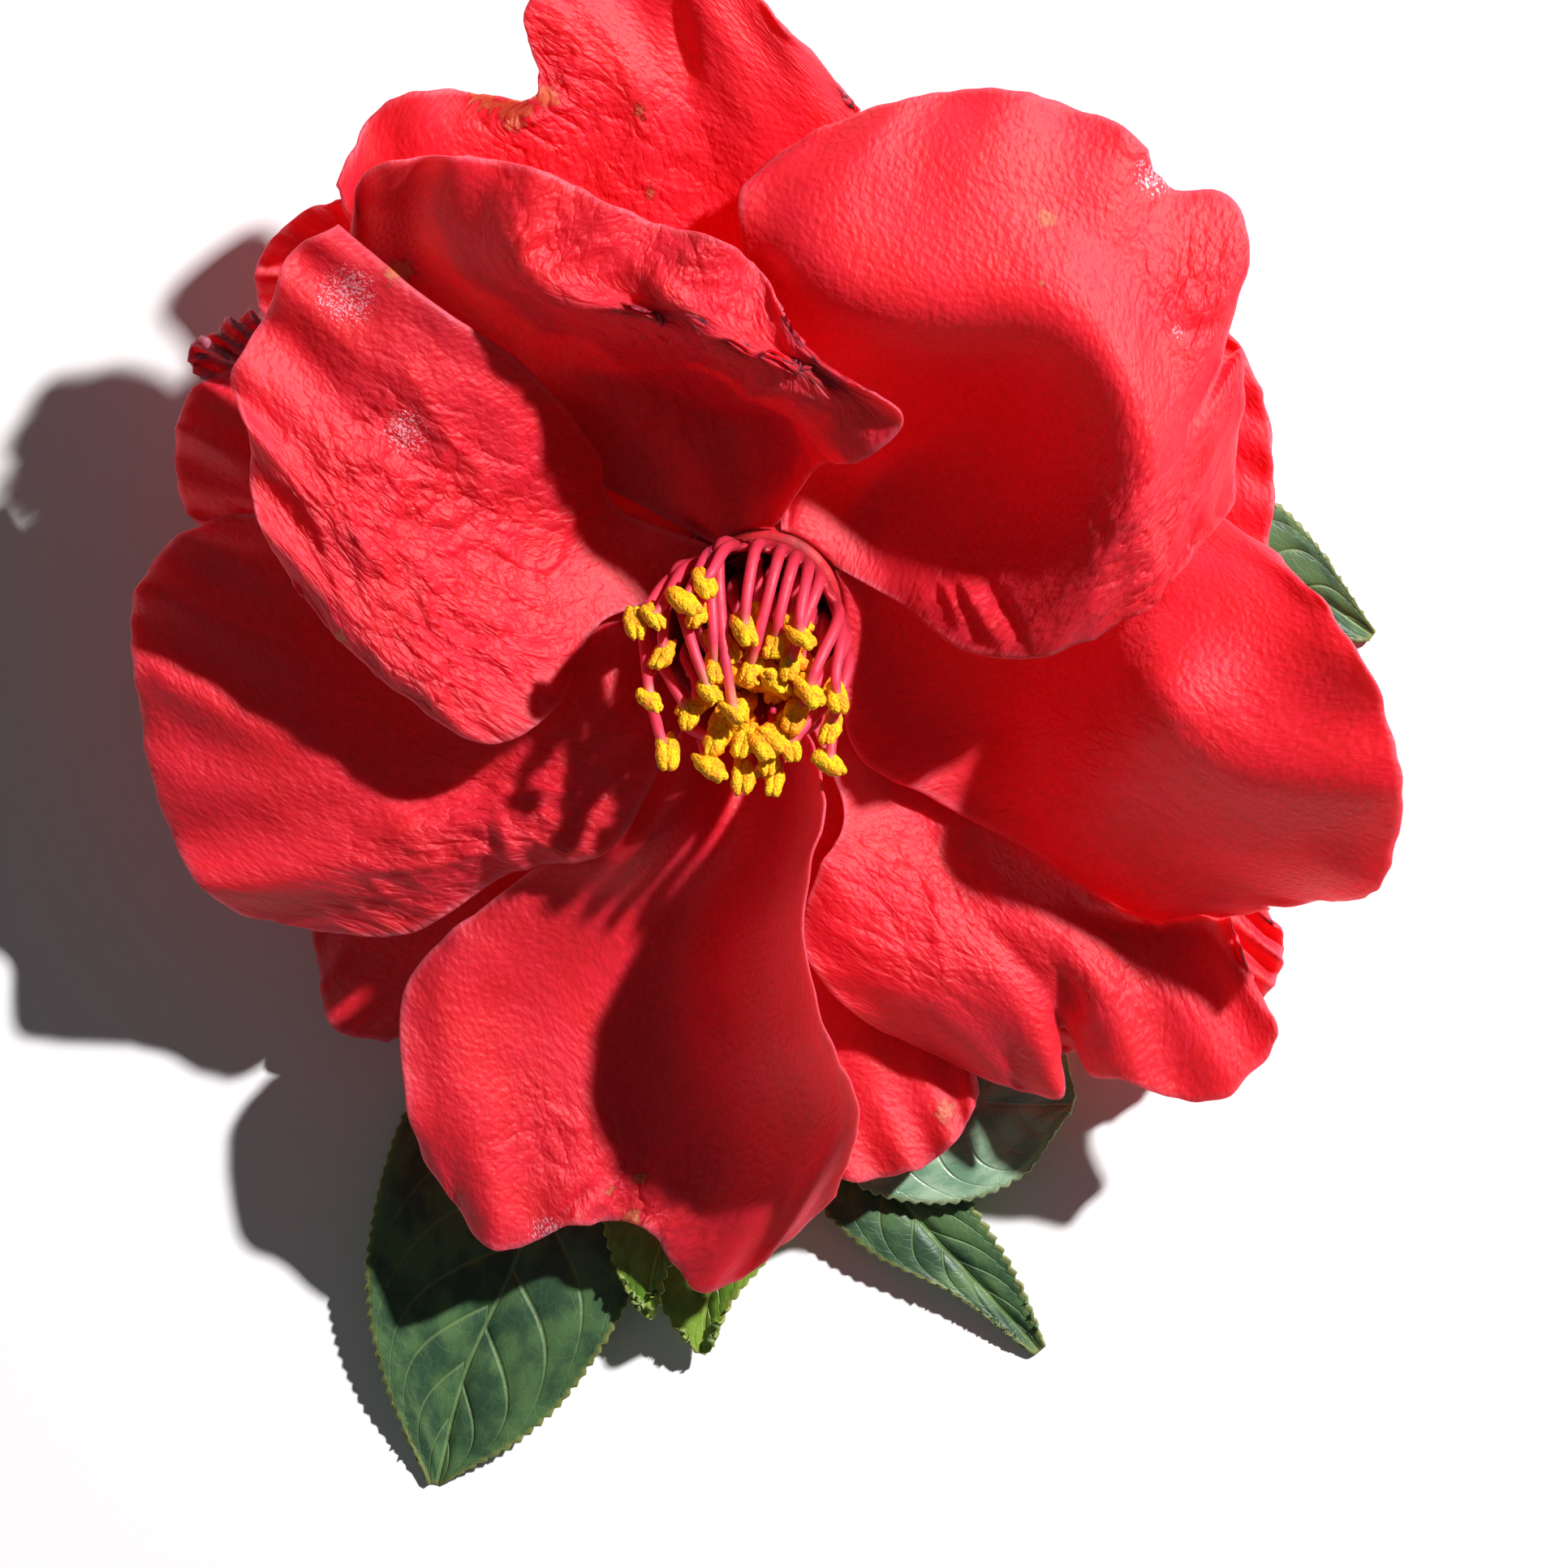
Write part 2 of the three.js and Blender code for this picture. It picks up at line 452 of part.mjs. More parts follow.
// Lowers a blade until it clears what lies over it; each push is spread, so that the blade bends gently.
function settle(grid) {
  const normals = gridNormals(grid);
  const width = grid.across + 1;
  const need = grid.points.map((point, k) => {
    if (k < width) return 0;
    const room = LAYER_GAP / Math.max(0.4, normals[k].z);
    return Math.max(0, point.z - ceilingOver(point) + room);
  });
  let drop = { ...grid, points: need };
  for (let pass = 0; pass < 10; pass++)
    drop = changeGrid(drop, (own, i, j) => {
      if (i === 0) return 0;
      const round = gridPoint(drop, i - 1, j) + gridPoint(drop, i + 1, j)
        + gridPoint(drop, i, j - 1) + gridPoint(drop, i, j + 1);
      return Math.max(need[i * width + j], (round + 2 * own) / 6);
    });
  return changeGrid(grid, (point, i, j) => point.clone().setZ(point.z - gridPoint(drop, i, j)));
}

// ---------------------------------------------------------------- closed bodies
// A body from corner positions and triangles, turned so that its faces look outwards.
function body(positions, faces) {
  const corner = (k) => new THREE.Vector3().fromArray(positions, 3 * k);
  let volume = 0;
  for (let k = 0; k < faces.length; k += 3)
    volume += corner(faces[k]).dot(corner(faces[k + 1]).cross(corner(faces[k + 2])));
  const turned = [];
  for (let k = 0; k < faces.length; k += 3)
    turned.push(faces[k], volume < 0 ? faces[k + 2] : faces[k + 1], volume < 0 ? faces[k + 1] : faces[k + 2]);
  const geometry = new THREE.BufferGeometry();
  geometry.setAttribute("position", new THREE.Float32BufferAttribute(positions, 3));
  geometry.setIndex(turned);
  return geometry;
}

// A blade: the grid, its copy pushed back by the thickness, and the rim between them.
function blade(grid, thickness, step) {
  const back = underside(grid, thickness);
  const rows = grid.along / step;
  const columns = grid.across / step;
  const positions = [];
  for (const side of [grid, back])
    for (let i = 0; i <= rows; i++)
      for (let j = 0; j <= columns; j++) positions.push(...gridPoint(side, i * step, j * step).toArray());
  const layer = (rows + 1) * (columns + 1);
  const front = (i, j) => i * (columns + 1) + j;
  const faces = [];
  for (let i = 0; i < rows; i++)
    for (let j = 0; j < columns; j++) {
      const [a, b, c, d] = [front(i, j), front(i + 1, j), front(i + 1, j + 1), front(i, j + 1)];
      faces.push(a, b, c, a, c, d);
      faces.push(a + layer, c + layer, b + layer, a + layer, d + layer, c + layer);
    }
  const rim = [];
  for (let i = 0; i < rows; i++) rim.push(front(i, 0));
  for (let j = 0; j < columns; j++) rim.push(front(rows, j));
  for (let i = rows; i > 0; i--) rim.push(front(i, columns));
  for (let j = columns; j > 0; j--) rim.push(front(0, j));
  rim.forEach((here, k) => {
    const next = rim[(k + 1) % rim.length];
    faces.push(next, here, here + layer, next, here + layer, next + layer);
  });
  return body(positions, faces);
}

// A round rod through points, with a radius at each; its ends are closed.
function rod(points, radii, sides) {
  const positions = [];
  points.forEach((point, k) => {
    const before = points[Math.max(0, k - 1)];
    const after = points[Math.min(points.length - 1, k + 1)];
    const direction = after.clone().sub(before).normalize();
    const level = Math.abs(direction.z) < 0.8 ? new THREE.Vector3(0, 0, 1) : new THREE.Vector3(0, 1, 0);
    const sideways = new THREE.Vector3().crossVectors(level, direction).normalize();
    const upwards = new THREE.Vector3().crossVectors(direction, sideways);
    for (let s = 0; s < sides; s++) {
      const a = (2 * Math.PI * (s + 0.5)) / sides;
      const corner = point.clone()
        .addScaledVector(sideways, radii[k] * Math.sin(a))
        .addScaledVector(upwards, radii[k] * Math.cos(a));
      positions.push(...corner.toArray());
    }
  });
  const faces = [];
  for (let k = 0; k + 1 < points.length; k++)
    for (let s = 0; s < sides; s++) {
      const [a, b] = [k * sides + s, k * sides + ((s + 1) % sides)];
      faces.push(a, b, b + sides, a, b + sides, a + sides);
    }
  const last = (points.length - 1) * sides;
  for (let s = 1; s + 1 < sides; s++) faces.push(0, s + 1, s, last, last + s, last + s + 1);
  return body(positions, faces);
}

// A turned shape round the bloom's axis: the profile lists [radius, height above the base].
function turned(profile, sides) {
  const lathe = new THREE.LatheGeometry(profile.map(([r, h]) => new THREE.Vector2(r, h)), sides);
  const frame = new THREE.Matrix4().makeBasis(ACROSS_X, BLOOM_AXIS, ACROSS_Y.clone().negate());
  lathe.applyMatrix4(frame).translate(...BLOOM_BASE.toArray());
  lathe.deleteAttribute("uv");
  lathe.deleteAttribute("normal");
  const merged = mergeVertices(lathe, 1e-4);
  const index = Array.from(merged.index.array);
  const faces = [];
  for (let k = 0; k < index.length; k += 3) {
    const [a, b, c] = index.slice(k, k + 3);
    if (a !== b && b !== c && c !== a) faces.push(a, b, c);
  }
  return body(Array.from(merged.attributes.position.array), faces);
}

function solid(geometry) {
  const mesh = new wasm.Mesh({
    numProp: 3,
    vertProperties: geometry.attributes.position.array,
    triVerts: new Uint32Array(geometry.index.array),
  });
  return new wasm.Manifold(mesh);
}

// Several closed bodies grown together into one; a pocket shut in between them is left out.
function fuse(geometries) {
  const parts = wasm.Manifold.union(geometries.map(solid)).decompose();
  const mesh = parts.reduce((a, b) => (a.volume() > b.volume() ? a : b)).getMesh();
  return body(Array.from(mesh.vertProperties), Array.from(mesh.triVerts));
}

const flower = new THREE.Group();
flower.name = "camellia_flower";

function addPiece(name, geometry, colour, roughness) {
  const material = new THREE.MeshStandardMaterial({ color: colour, roughness, metalness: 0 });
  const mesh = new THREE.Mesh(geometry, material);
  mesh.name = name;
  flower.add(mesh);
}

// ---------------------------------------------------------------- the bloom's petals
for (const petal of PETALS) {
  const grid = settle(petalGrid(petal));
  addToCeiling(underside(grid, PETAL_THICKNESS));
  const colour = petal.name === "petal_withered" ? 0x9a6468 : 0xc8101e;
  addPiece(petal.name, blade(grid, PETAL_THICKNESS, FACET_STEPS), colour, 0.55);
}

// ---------------------------------------------------------------- calyx: receptacle and sepals
const CORE_PROFILE = [[0, 2.2], [6.3, 2.2], [6.35, 0.2], [7.9, -0.2], [7.9, -1.4],
  [6.6, -4], [4.2, -7.2], [2.4, -9.4], [2.1, -11.4], [0, -11.4]];

// A rounded scale that hugs the core: turn is its angle round the axis, low its tier.
function sepal(turn, low) {
  const grid = makeGrid(4, 4, (along, across) => {
    const side = 2 * across - 1;
    const reach = along * (1 - 0.3 * side * side);
    const radius = 2.5 + 6.1 * reach ** 0.9 + low * 0.6;
    const height = -8.6 + 6.2 * reach - low * 0.8;
    return bloomPoint(turn + 37 * side, radius, height);
  });
  return blade(grid, 1.2, 1);
}
const sepals = [0, 72, 144, 216, 288].map((turn, k) => sepal(turn + 20, k % 2));
addPiece("calyx", fuse([turned(CORE_PROFILE, 16), ...sepals]), 0x6f7a45, 0.7);

// ---------------------------------------------------------------- stamens
// Where the anthers stand, in mm along X and Y, and the point that their filaments fan out from.
const FAN_MIDDLE = [-4, -14.5];
const ANTHERS = [
  [-12.2, -6.9], [-10.7, -6.4], [-9.9, -9.4], [-10.9, -13.2], [-9.6, -17.3], [-7.7, -14.3], [-8.2, -5.1],
  [-7.1, -6.1], [-6.5, -3.6], [-3.2, -7.4], [-0.6, -8.4], [1.3, -7.9], [0.5, -10.4], [-5.6, -10.4],
  [-6.1, -12.4], [-2.7, -10.6], [2, -12.4], [4.4, -12.9], [3.8, -15.5], [3.7, -18.3], [1, -14.3],
  [0.5, -16.9], [-1.9, -16.8], [-5.4, -16.3], [-6, -18.6], [-3.4, -19.4], [-0.8, -19.6], [-4.1, -14.1],
];

function stamen([x, y], k) {
  const tip = new THREE.Vector3(x, y, 36.8 + 0.17 * y + 0.8 * Math.sin(2.4 * k));
  const degrees = THREE.MathUtils.radToDeg(Math.atan2(y - FAN_MIDDLE[1], x - FAN_MIDDLE[0]));
  const shoulder = bloomPoint(degrees, 8.3, 13.2);
  const path = [
    bloomPoint(degrees, STAMEN_TUBE.mouth - 0.5 * STAMEN_TUBE.wall, STAMEN_TUBE.height - 1.2),
    shoulder,
    shoulder.clone().lerp(tip, 0.55).addScaledVector(BLOOM_AXIS, 1.2),
    tip,
  ];
  const filament = rod(path, [0.75, 0.68, 0.6, 0.5], 3);
  // The anther lies across the filament's tip, turned a little differently on each.
  const turn = -1.4 + 0.7 * Math.sin(2.4 * k);
  const lie = new THREE.Vector3(Math.cos(turn), Math.sin(turn), 0.6).normalize();
  const ends = [-0.5, 0, 0.5].map((s) => tip.clone().addScaledVector(lie, s * ANTHER_LENGTH));
  const anther = rod(ends, [0.7 * ANTHER_RADIUS, ANTHER_RADIUS, 0.7 * ANTHER_RADIUS], 4);
  return fuse([filament, anther]);
}

const { foot, mouth, wall, height: tubeHeight } = STAMEN_TUBE;
const tube = turned([[foot - wall, 2.2 + SEAT_GAP], [foot, 2.2 + SEAT_GAP], [mouth, tubeHeight],
  [mouth - wall, tubeHeight], [foot - wall, 2.2 + SEAT_GAP]], 20);
addPiece("stamens", fuse([tube, ...ANTHERS.map(stamen)]), 0xf2b21c, 0.6);

// ---------------------------------------------------------------- pistil
const ovary = turned([[0, 2.2 + SEAT_GAP], [1.7, 2.2 + SEAT_GAP], [2.3, 4], [1.7, 5.6], [0.7, 6.6],
  [0.6, 12], [0, 12]], 12);
const styles = [90, 210, 330].map((turn) =>
  rod([bloomPoint(0, 0, 11), bloomPoint(turn, 0.7, 12.6), bloomPoint(turn, 1.9, 14.4)], [0.5, 0.45, 0.5], 5),
);
addPiece("pistil", fuse([ovary, ...styles]), 0xc9c06a, 0.6);

// ---------------------------------------------------------------- leaves with their stalks
for (const leaf of LEAVES) {
  const grid = settle(leafGrid(leaf));
  addToCeiling(underside(grid, LEAF_THICKNESS));
  const stalkPoints = leaf.stalk.map((point) => new THREE.Vector3(...point));
  const stalk = rod(stalkPoints, [0.9, 0.85, 0.5], 6);
  addPiece(leaf.name, fuse([blade(grid, LEAF_THICKNESS, 1), stalk]), 0x3f5c33, 0.5);
}

// ---------------------------------------------------------------- twig
// The cut end comes first. The underside is pressed flat where the sprig lies.
const TWIG = [[-16, 24, 2.4], [-10, 14, 2.3], [-4, 5.5, 2.2], [0, -3, 2.1], [-0.6, -16, 1.9],
  [-1, -30, 1.7], [-2, -44.2, 1.4]];
const TWIG_FLAT = 0.35; // how far the underside is pressed in
const twigPoints = TWIG.map(([x, y, r]) => new THREE.Vector3(x, y, r - TWIG_FLAT));
const stubPoints = [new THREE.Vector3(-0.2, -0.4, 2), bloomPoint(0, 0, -13), bloomPoint(0, 0, -11.4 - SEAT_GAP)];
const stub = rod(stubPoints, [2, 1.95, 1.9], 10);
const twig = fuse([rod(twigPoints, TWIG.map((entry) => entry[2]), 10), stub]);
const twigPositions = twig.attributes.position;
for (let k = 0; k < twigPositions.count; k++)
  twigPositions.setZ(k, Math.max(0, twigPositions.getZ(k)));
addPiece("twig", twig, 0x6b5136, 0.85);

export default flower;
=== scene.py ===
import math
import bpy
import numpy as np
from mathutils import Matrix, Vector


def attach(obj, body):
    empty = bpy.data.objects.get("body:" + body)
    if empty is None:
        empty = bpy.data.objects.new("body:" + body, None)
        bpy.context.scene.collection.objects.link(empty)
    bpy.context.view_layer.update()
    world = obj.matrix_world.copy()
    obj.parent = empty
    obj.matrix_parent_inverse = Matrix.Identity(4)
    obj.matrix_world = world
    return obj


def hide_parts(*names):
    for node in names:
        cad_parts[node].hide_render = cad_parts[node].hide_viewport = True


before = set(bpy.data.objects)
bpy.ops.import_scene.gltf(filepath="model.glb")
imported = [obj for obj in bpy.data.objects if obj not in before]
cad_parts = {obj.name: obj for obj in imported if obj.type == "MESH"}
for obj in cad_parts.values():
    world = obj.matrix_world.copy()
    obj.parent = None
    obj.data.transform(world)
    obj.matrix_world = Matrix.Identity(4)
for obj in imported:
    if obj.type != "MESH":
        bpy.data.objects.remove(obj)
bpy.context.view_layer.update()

# %% [markdown]
# # A picked camellia
# This script dresses the solid model of a cut camellia sprig: a single red bloom with two whorls of
# petals, its golden stamens, a calyx, six toothed leaves and a short woody twig. The solids say where
# each piece is. Here every one of them is built again much finer, in the same place, and gets its
# veins, wrinkles, blemishes and colours. Places are in millimetres in the model's own frame, with +Z
# up, and become metres only when a mesh is made.

MM = 0.001
BLOOM_BASE = np.array([-1.3, -4.5, 18.0])  # where the stamens stand
BLOOM_AXIS = np.array([-0.134, -0.313, 0.94])
BLOOM_AXIS = BLOOM_AXIS / np.linalg.norm(BLOOM_AXIS)
ACROSS_X = np.array([1.0, 0.0, 0.0]) - BLOOM_AXIS[0] * BLOOM_AXIS
ACROSS_X = ACROSS_X / np.linalg.norm(ACROSS_X)
ACROSS_Y = np.cross(BLOOM_AXIS, ACROSS_X)


def bloom_point(degrees, radius, height):
    """A point of the bloom: angle round its axis, distance from the axis, height above the base."""
    turn = math.radians(degrees)
    sideways = math.cos(turn) * ACROSS_X + math.sin(turn) * ACROSS_Y
    return BLOOM_BASE + radius * sideways + height * BLOOM_AXIS


# %% [markdown]
# ## Camera, floor and light
# The sprig lies on a pale table and is looked at from straight above, from a metre away with a long
# lens, so that the raised petals are hardly larger than the low ones. A small lamp high on the right
# gives the shadows their direction and a clear edge. A wide, weak light from the left and a pale sky
# keep the shaded sides open. Area lights are used because their size sets how soft a shadow is.

# %% Camera
VIEW_CENTRE = (0.0, -20.0)  # mm, the middle of the picture
CAMERA_HEIGHT = 1000.0
FOCUS_HEIGHT = 30.0  # the height at which the picture is HALF_FRAME wide to each side
HALF_FRAME = 64.4
SENSOR_WIDTH = 36

camera_data = bpy.data.cameras.new("camera")
camera = bpy.data.objects.new("camera", camera_data)
bpy.context.scene.collection.objects.link(camera)
camera.location = (VIEW_CENTRE[0] * MM, VIEW_CENTRE[1] * MM, CAMERA_HEIGHT * MM)
camera_data.sensor_width = SENSOR_WIDTH
camera_data.lens = SENSOR_WIDTH / 2 / (HALF_FRAME / (CAMERA_HEIGHT - FOCUS_HEIGHT))
camera_data.clip_start = 0.05
camera_data.clip_end = 10
bpy.context.scene.camera = camera
print("lens in mm:", round(camera_data.lens, 1))

# %% [markdown]
# ## Recipes for colour and finish
# Every material here is a tree of nodes. Noise, lines and measures from the mesh go in, and a colour,
# a roughness and a height come out. Node trees are long-winded in code, so short helpers for the
# usual steps come first. What several materials share is a node group with named inputs.

# %% Building node trees
def node(tree, kind, inputs=None, **settings):
    """Adds a node. An input given as a socket is joined to it, and any other value is set."""
    made = tree.nodes.new(kind)
    for name, value in settings.items():
        setattr(made, name, value)
    for key, value in (inputs or {}).items():
        if isinstance(value, bpy.types.NodeSocket):
            tree.links.new(value, made.inputs[key])
        else:
            made.inputs[key].default_value = value
    return made


def calc(tree, operation, *values, clamp=False):
    """The result of a sum on values or sockets."""
    made = node(tree, "ShaderNodeMath", dict(enumerate(values)), operation=operation, use_clamp=clamp)
    return made.outputs[0]


def ramp(tree, value, low, high, to_low=0.0, to_high=1.0):
    """Carries value smoothly from to_low, at low, to to_high, at high."""
    inputs = {"Value": value, "From Min": low, "From Max": high, "To Min": to_low, "To Max": to_high}
    return node(tree, "ShaderNodeMapRange", inputs, interpolation_type="SMOOTHSTEP").outputs[0]


def blend(tree, share, first, second):
    """Mixes two colours: share 0 is all first, 1 is all second."""
    # A Mix node keeps its sockets for colours behind those for numbers and vectors.
    return node(tree, "ShaderNodeMix", {0: share, 6: first, 7: second}, data_type="RGBA").outputs[2]


def srgb(*colour):
    """A colour as a screen gives it, 0 to 255, for a shader's socket."""
    shares = [part / 255 for part in colour]
    linear = [c / 12.92 if c <= 0.04045 else ((c + 0.055) / 1.055) ** 2.4 for c in shares]
    return (*linear, 1.0)


def product(tree, first, second):
    return calc(tree, "MULTIPLY", first, second)


def noise(tree, place, scale, detail, out="Fac"):
    """Soft random noise, or with out="Color" a random direction."""
    return node(tree, "ShaderNodeTexNoise", {"Vector": place, "Scale": scale, "Detail": detail}).outputs[out]


def measure(tree, key, out="Fac"):
    """A measure that the mesh carries at each of its points."""
    return node(tree, "ShaderNodeAttribute", attribute_name=key).outputs[out]


def parts_of(tree, vector):
    """The X, Y and Z of a vector."""
    return node(tree, "ShaderNodeSeparateXYZ", {0: vector}).outputs


def flat_place(tree, x, y):
    return node(tree, "ShaderNodeCombineXYZ", {"X": x, "Y": y}).outputs[0]


def vectors(tree, operation, first, second):
    return node(tree, "ShaderNodeVectorMath", {0: first, 1: second}, operation=operation).outputs[0]


def voronoi(tree, place, scale=1.0, **settings):
    """How far the nearest of many scattered points is, or the nearest border between two."""
    cells = node(tree, "ShaderNodeTexVoronoi", {"Vector": place, "Scale": scale}, **settings)
    return cells.outputs["Distance"]


# %% Building groups and materials
def new_group(name, inputs, outputs):
    """An empty node group with named inputs and outputs: its tree and what it is given."""
    tree = bpy.data.node_groups.new(name, "ShaderNodeTree")
    for key, kind in inputs.items():
        tree.interface.new_socket(key, in_out="INPUT", socket_type="NodeSocket" + kind)
    for key in outputs:
        tree.interface.new_socket(key, in_out="OUTPUT", socket_type="NodeSocketFloat")
    return tree, tree.nodes.new("NodeGroupInput").outputs


def end_group(tree, results):
    """Joins the results to the group's outputs."""
    out = tree.nodes.new("NodeGroupOutput")
    for key, value in results.items():
        tree.links.new(value, out.inputs[key])
    return tree


def new_material(name):
    """An empty material with its Principled shader, which the recipe that follows fills in."""
    material = bpy.data.materials.new(name)
    material.use_nodes = True
    tree = material.node_tree
    return material, tree, tree.nodes["Principled BSDF"]


def dress(tree, shader, colour, roughness, height, depth, fixed, strength=1.0):
    """Joins a recipe's results to its shader, and sets in it what is the same all over.

    Height and depth are the bump's: depth is in metres for a height of 1.
    """
    bump = node(tree, "ShaderNodeBump", {"Height": height, "Strength": strength, "Distance": depth})
    for key, value in (("Base Color", colour), ("Roughness", roughness), ("Normal", bump.outputs[0])):
        tree.links.new(value, shader.inputs[key])
    for key, value in fixed.items():
        shader.inputs[key].default_value = value


def glow(weight, radius, scale):
    """Light that seeps through flesh: how much, how far for red, green and blue, and the scale in metres."""
    return {"Subsurface Weight": weight, "Subsurface Radius": radius, "Subsurface Scale": scale}


def silk(weight, roughness):
    """The soft shine of fine hairs or of velvet."""
    return {"Sheen Weight": weight, "Sheen Roughness": roughness}


def hand_over(piece, part):
    """Puts a piece on the one body and hides the solid that it dresses. Nothing moves, so all ride on one
    body.
    """
    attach(piece, "root")
    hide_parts(part)
    print(piece.name, len(piece.data.polygons), "faces")


# %% Floor and light
TO_LIGHT = Vector((0.574, 0.453, 0.682)).normalized()  # the main light comes from this side
SKY_TINT = (0.93, 0.96, 1.0)
FLOOR = 3  # metres from its middle to each side

floor_mesh = bpy.data.meshes.new("floor")
floor_corners = [(FLOOR * x, FLOOR * y, 0) for x, y in ((-1, -1), (1, -1), (1, 1), (-1, 1))]
floor_mesh.from_pydata(floor_corners, [], [(0, 1, 2, 3)])
floor = bpy.data.objects.new("floor", floor_mesh)
bpy.context.scene.collection.objects.link(floor)
floor_paint, tree, shader = new_material("floor_paint")
shader.inputs["Base Color"].default_value = (0.9, 0.9, 0.9, 1)
shader.inputs["Roughness"].default_value = 0.9
shader.inputs["Specular IOR Level"].default_value = 0.1
floor_mesh.materials.append(floor_paint)


def area_light(name, direction, distance, size, power, colour):
    """A square area light that faces the bloom."""
    data = bpy.data.lights.new(name, "AREA")
    data.size = size
    data.energy = power
    data.color = colour
    light = bpy.data.objects.new(name, data)
    light.location = Vector(direction).normalized() * distance
    light.rotation_euler = Vector(direction).to_track_quat("Z", "Y").to_euler()
    bpy.context.scene.collection.objects.link(light)


area_light("key_light", TO_LIGHT, 1.6, 0.06, 44, (1.0, 0.98, 0.98))
area_light("fill_light", (-0.5, -0.3, 0.8), 1.8, 1.6, 0.9, SKY_TINT)
world = bpy.data.worlds.new("studio")
world.use_nodes = True
sky = world.node_tree.nodes["Background"].inputs
sky["Color"].default_value = (*SKY_TINT, 1)
sky["Strength"].default_value = 0.055
bpy.context.scene.world = world
bpy.context.scene.view_settings.view_transform = "Standard"

# %% [markdown]
# ## Blades
# A petal or a leaf is a thin blade. It could be sculpted by hand or cut from a sheet by a cloth
# simulation, but then its place would drift from the solid model. So each is a smooth surface through
# a few rows of points, from its base to its tip. Every point is a place on the real blade, so the
# rows are easy to check and to move. The curve is a Catmull-Rom spline, which passes through all its
# points.

# %% Smooth surfaces through rows of points
def smooth_shares(count, places):
    """How much each of `count` equally spaced values counts in the curve at places from 0 to 1."""
    t = np.clip(places, 0, 1) * (count - 1)
    span = np.minimum(count - 2, t.astype(int))
    f = t - span
    shares = np.zeros((len(f), count + 2))
    here = np.arange(len(f))
    shares[here, span] = 0.5 * (-f + 2 * f**2 - f**3)
    shares[here, span + 1] = 1 + 0.5 * (-5 * f**2 + 3 * f**3)
    shares[here, span + 2] = 0.5 * (f + 4 * f**2 - 3 * f**3)
    shares[here, span + 3] = 0.5 * (-(f**2) + f**3)
    # Beyond its ends the curve runs straight on.
    shares[:, 1] += 2 * shares[:, 0]
    shares[:, 2] -= shares[:, 0]
    shares[:, -2] += 2 * shares[:, -1]
    shares[:, -3] -= shares[:, -1]
    return shares[:, 1:-1]


def loft(rows, along, across):
    """Points of the surface through rows of points: along[i, j] and across[j] are places from 0 to 1."""
    ribs = np.stack([smooth_shares(len(row), across) @ np.array(row, float) for row in rows])
    columns = [smooth_shares(len(rows), along[:, j]) @ ribs[:, j] for j in range(len(across))]
    return np.stack(columns, axis=1)


def finer(grid, rows, columns):
    """The same surface with more rows and columns of points."""
    along = smooth_shares(grid.shape[0], np.linspace(0, 1, rows + 1))
    across = smooth_shares(grid.shape[1], np.linspace(0, 1, columns + 1))
    return np.einsum("ai,ijk,bj->abk", along, grid, across)


def unit(vectors):
    return vectors / np.maximum(1e-9, np.linalg.norm(vectors, axis=-1, keepdims=True))


def neighbours(grid):
    """The next row and the row before, and the next column and the column before, for each point."""
    padded = np.pad(grid, [(1, 1), (1, 1), (0, 0)][:grid.ndim], mode="edge")
    return padded[2:, 1:-1], padded[:-2, 1:-1], padded[1:-1, 2:], padded[1:-1, :-2]


def upward_normals(grid):
    """The direction in which each point of a grid faces, on its upper side."""
    after, before, right, left = neighbours(grid)
    normals = unit(np.cross(right - left, after - before))
    return -normals if normals[..., 2].sum() < 0 else normals


def bell(distance, width):
    return np.exp(-((distance / width) ** 2))


# %% [markdown]
# Petals lie over each other like tiles. The upper ones are made first, and each later one is lowered
# until it clears everything above it. That is done with a map of the lowest height found so far over
# each small square of the table, which is much faster than looking for the nearest triangles.

# %% Settling one blade under another
LAYER_GAP = 0.55  # clear space between blades that lie over each other
SOLID_BLADE = 0.6  # how thick the solid model's blades are
MAP_CELL = 0.75
MAP_HALF = 84  # the map reaches this far from the middle
MAP_CELLS = math.ceil(2 * MAP_HALF / MAP_CELL)
OPEN_SKY = 1000.0  # the height where nothing is overhead
SPREADING = 10  # rounds that spread each push over its neighbours
ceiling = np.full((MAP_CELLS, MAP_CELLS), OPEN_SKY)


def cells_of(points):
    cells = np.floor((points[..., :2] + MAP_HALF) / MAP_CELL).astype(int)
    return cells[..., 1], cells[..., 0]


def add_to_ceiling(grid):
    """Enters the underside of a blade in the map of what is overhead."""
    under = grid - SOLID_BLADE * upward_normals(grid)
    steps = 8  # points between two of the grid, so that no cell under the blade is missed
    for axis in (0, 1):
        place = np.arange((under.shape[axis] - 1) * steps) / steps
        low = np.floor(place).astype(int)
        share = (place - low).reshape([-1 if k == axis else 1 for k in range(3)])
        under = np.take(under, low, axis) * (1 - share) + np.take(under, low + 1, axis) * share
    np.minimum.at(ceiling, cells_of(under), under[..., 2])


def settle(grid):
    """Lowers a blade under what lies over it, and spreads each push so that it bends gently."""
    row, column = cells_of(grid)
    lowest = np.full(grid.shape[:2], OPEN_SKY)
    for up in (-1, 0, 1):
        for right in (-1, 0, 1):
            lowest = np.minimum(lowest, ceiling[row + up, column + right])
    room = LAYER_GAP / np.maximum(0.4, upward_normals(grid)[..., 2])
    need = np.maximum(0, grid[..., 2] - lowest + room)
    need[0] = 0
    drop = need
    for _ in range(SPREADING):
        after, before, right, left = neighbours(drop)
        drop = np.maximum(need, (before + after + left + right + 2 * drop) / 6)
        drop[0] = 0
    settled = grid.copy()
    settled[..., 2] -= drop
    return settled


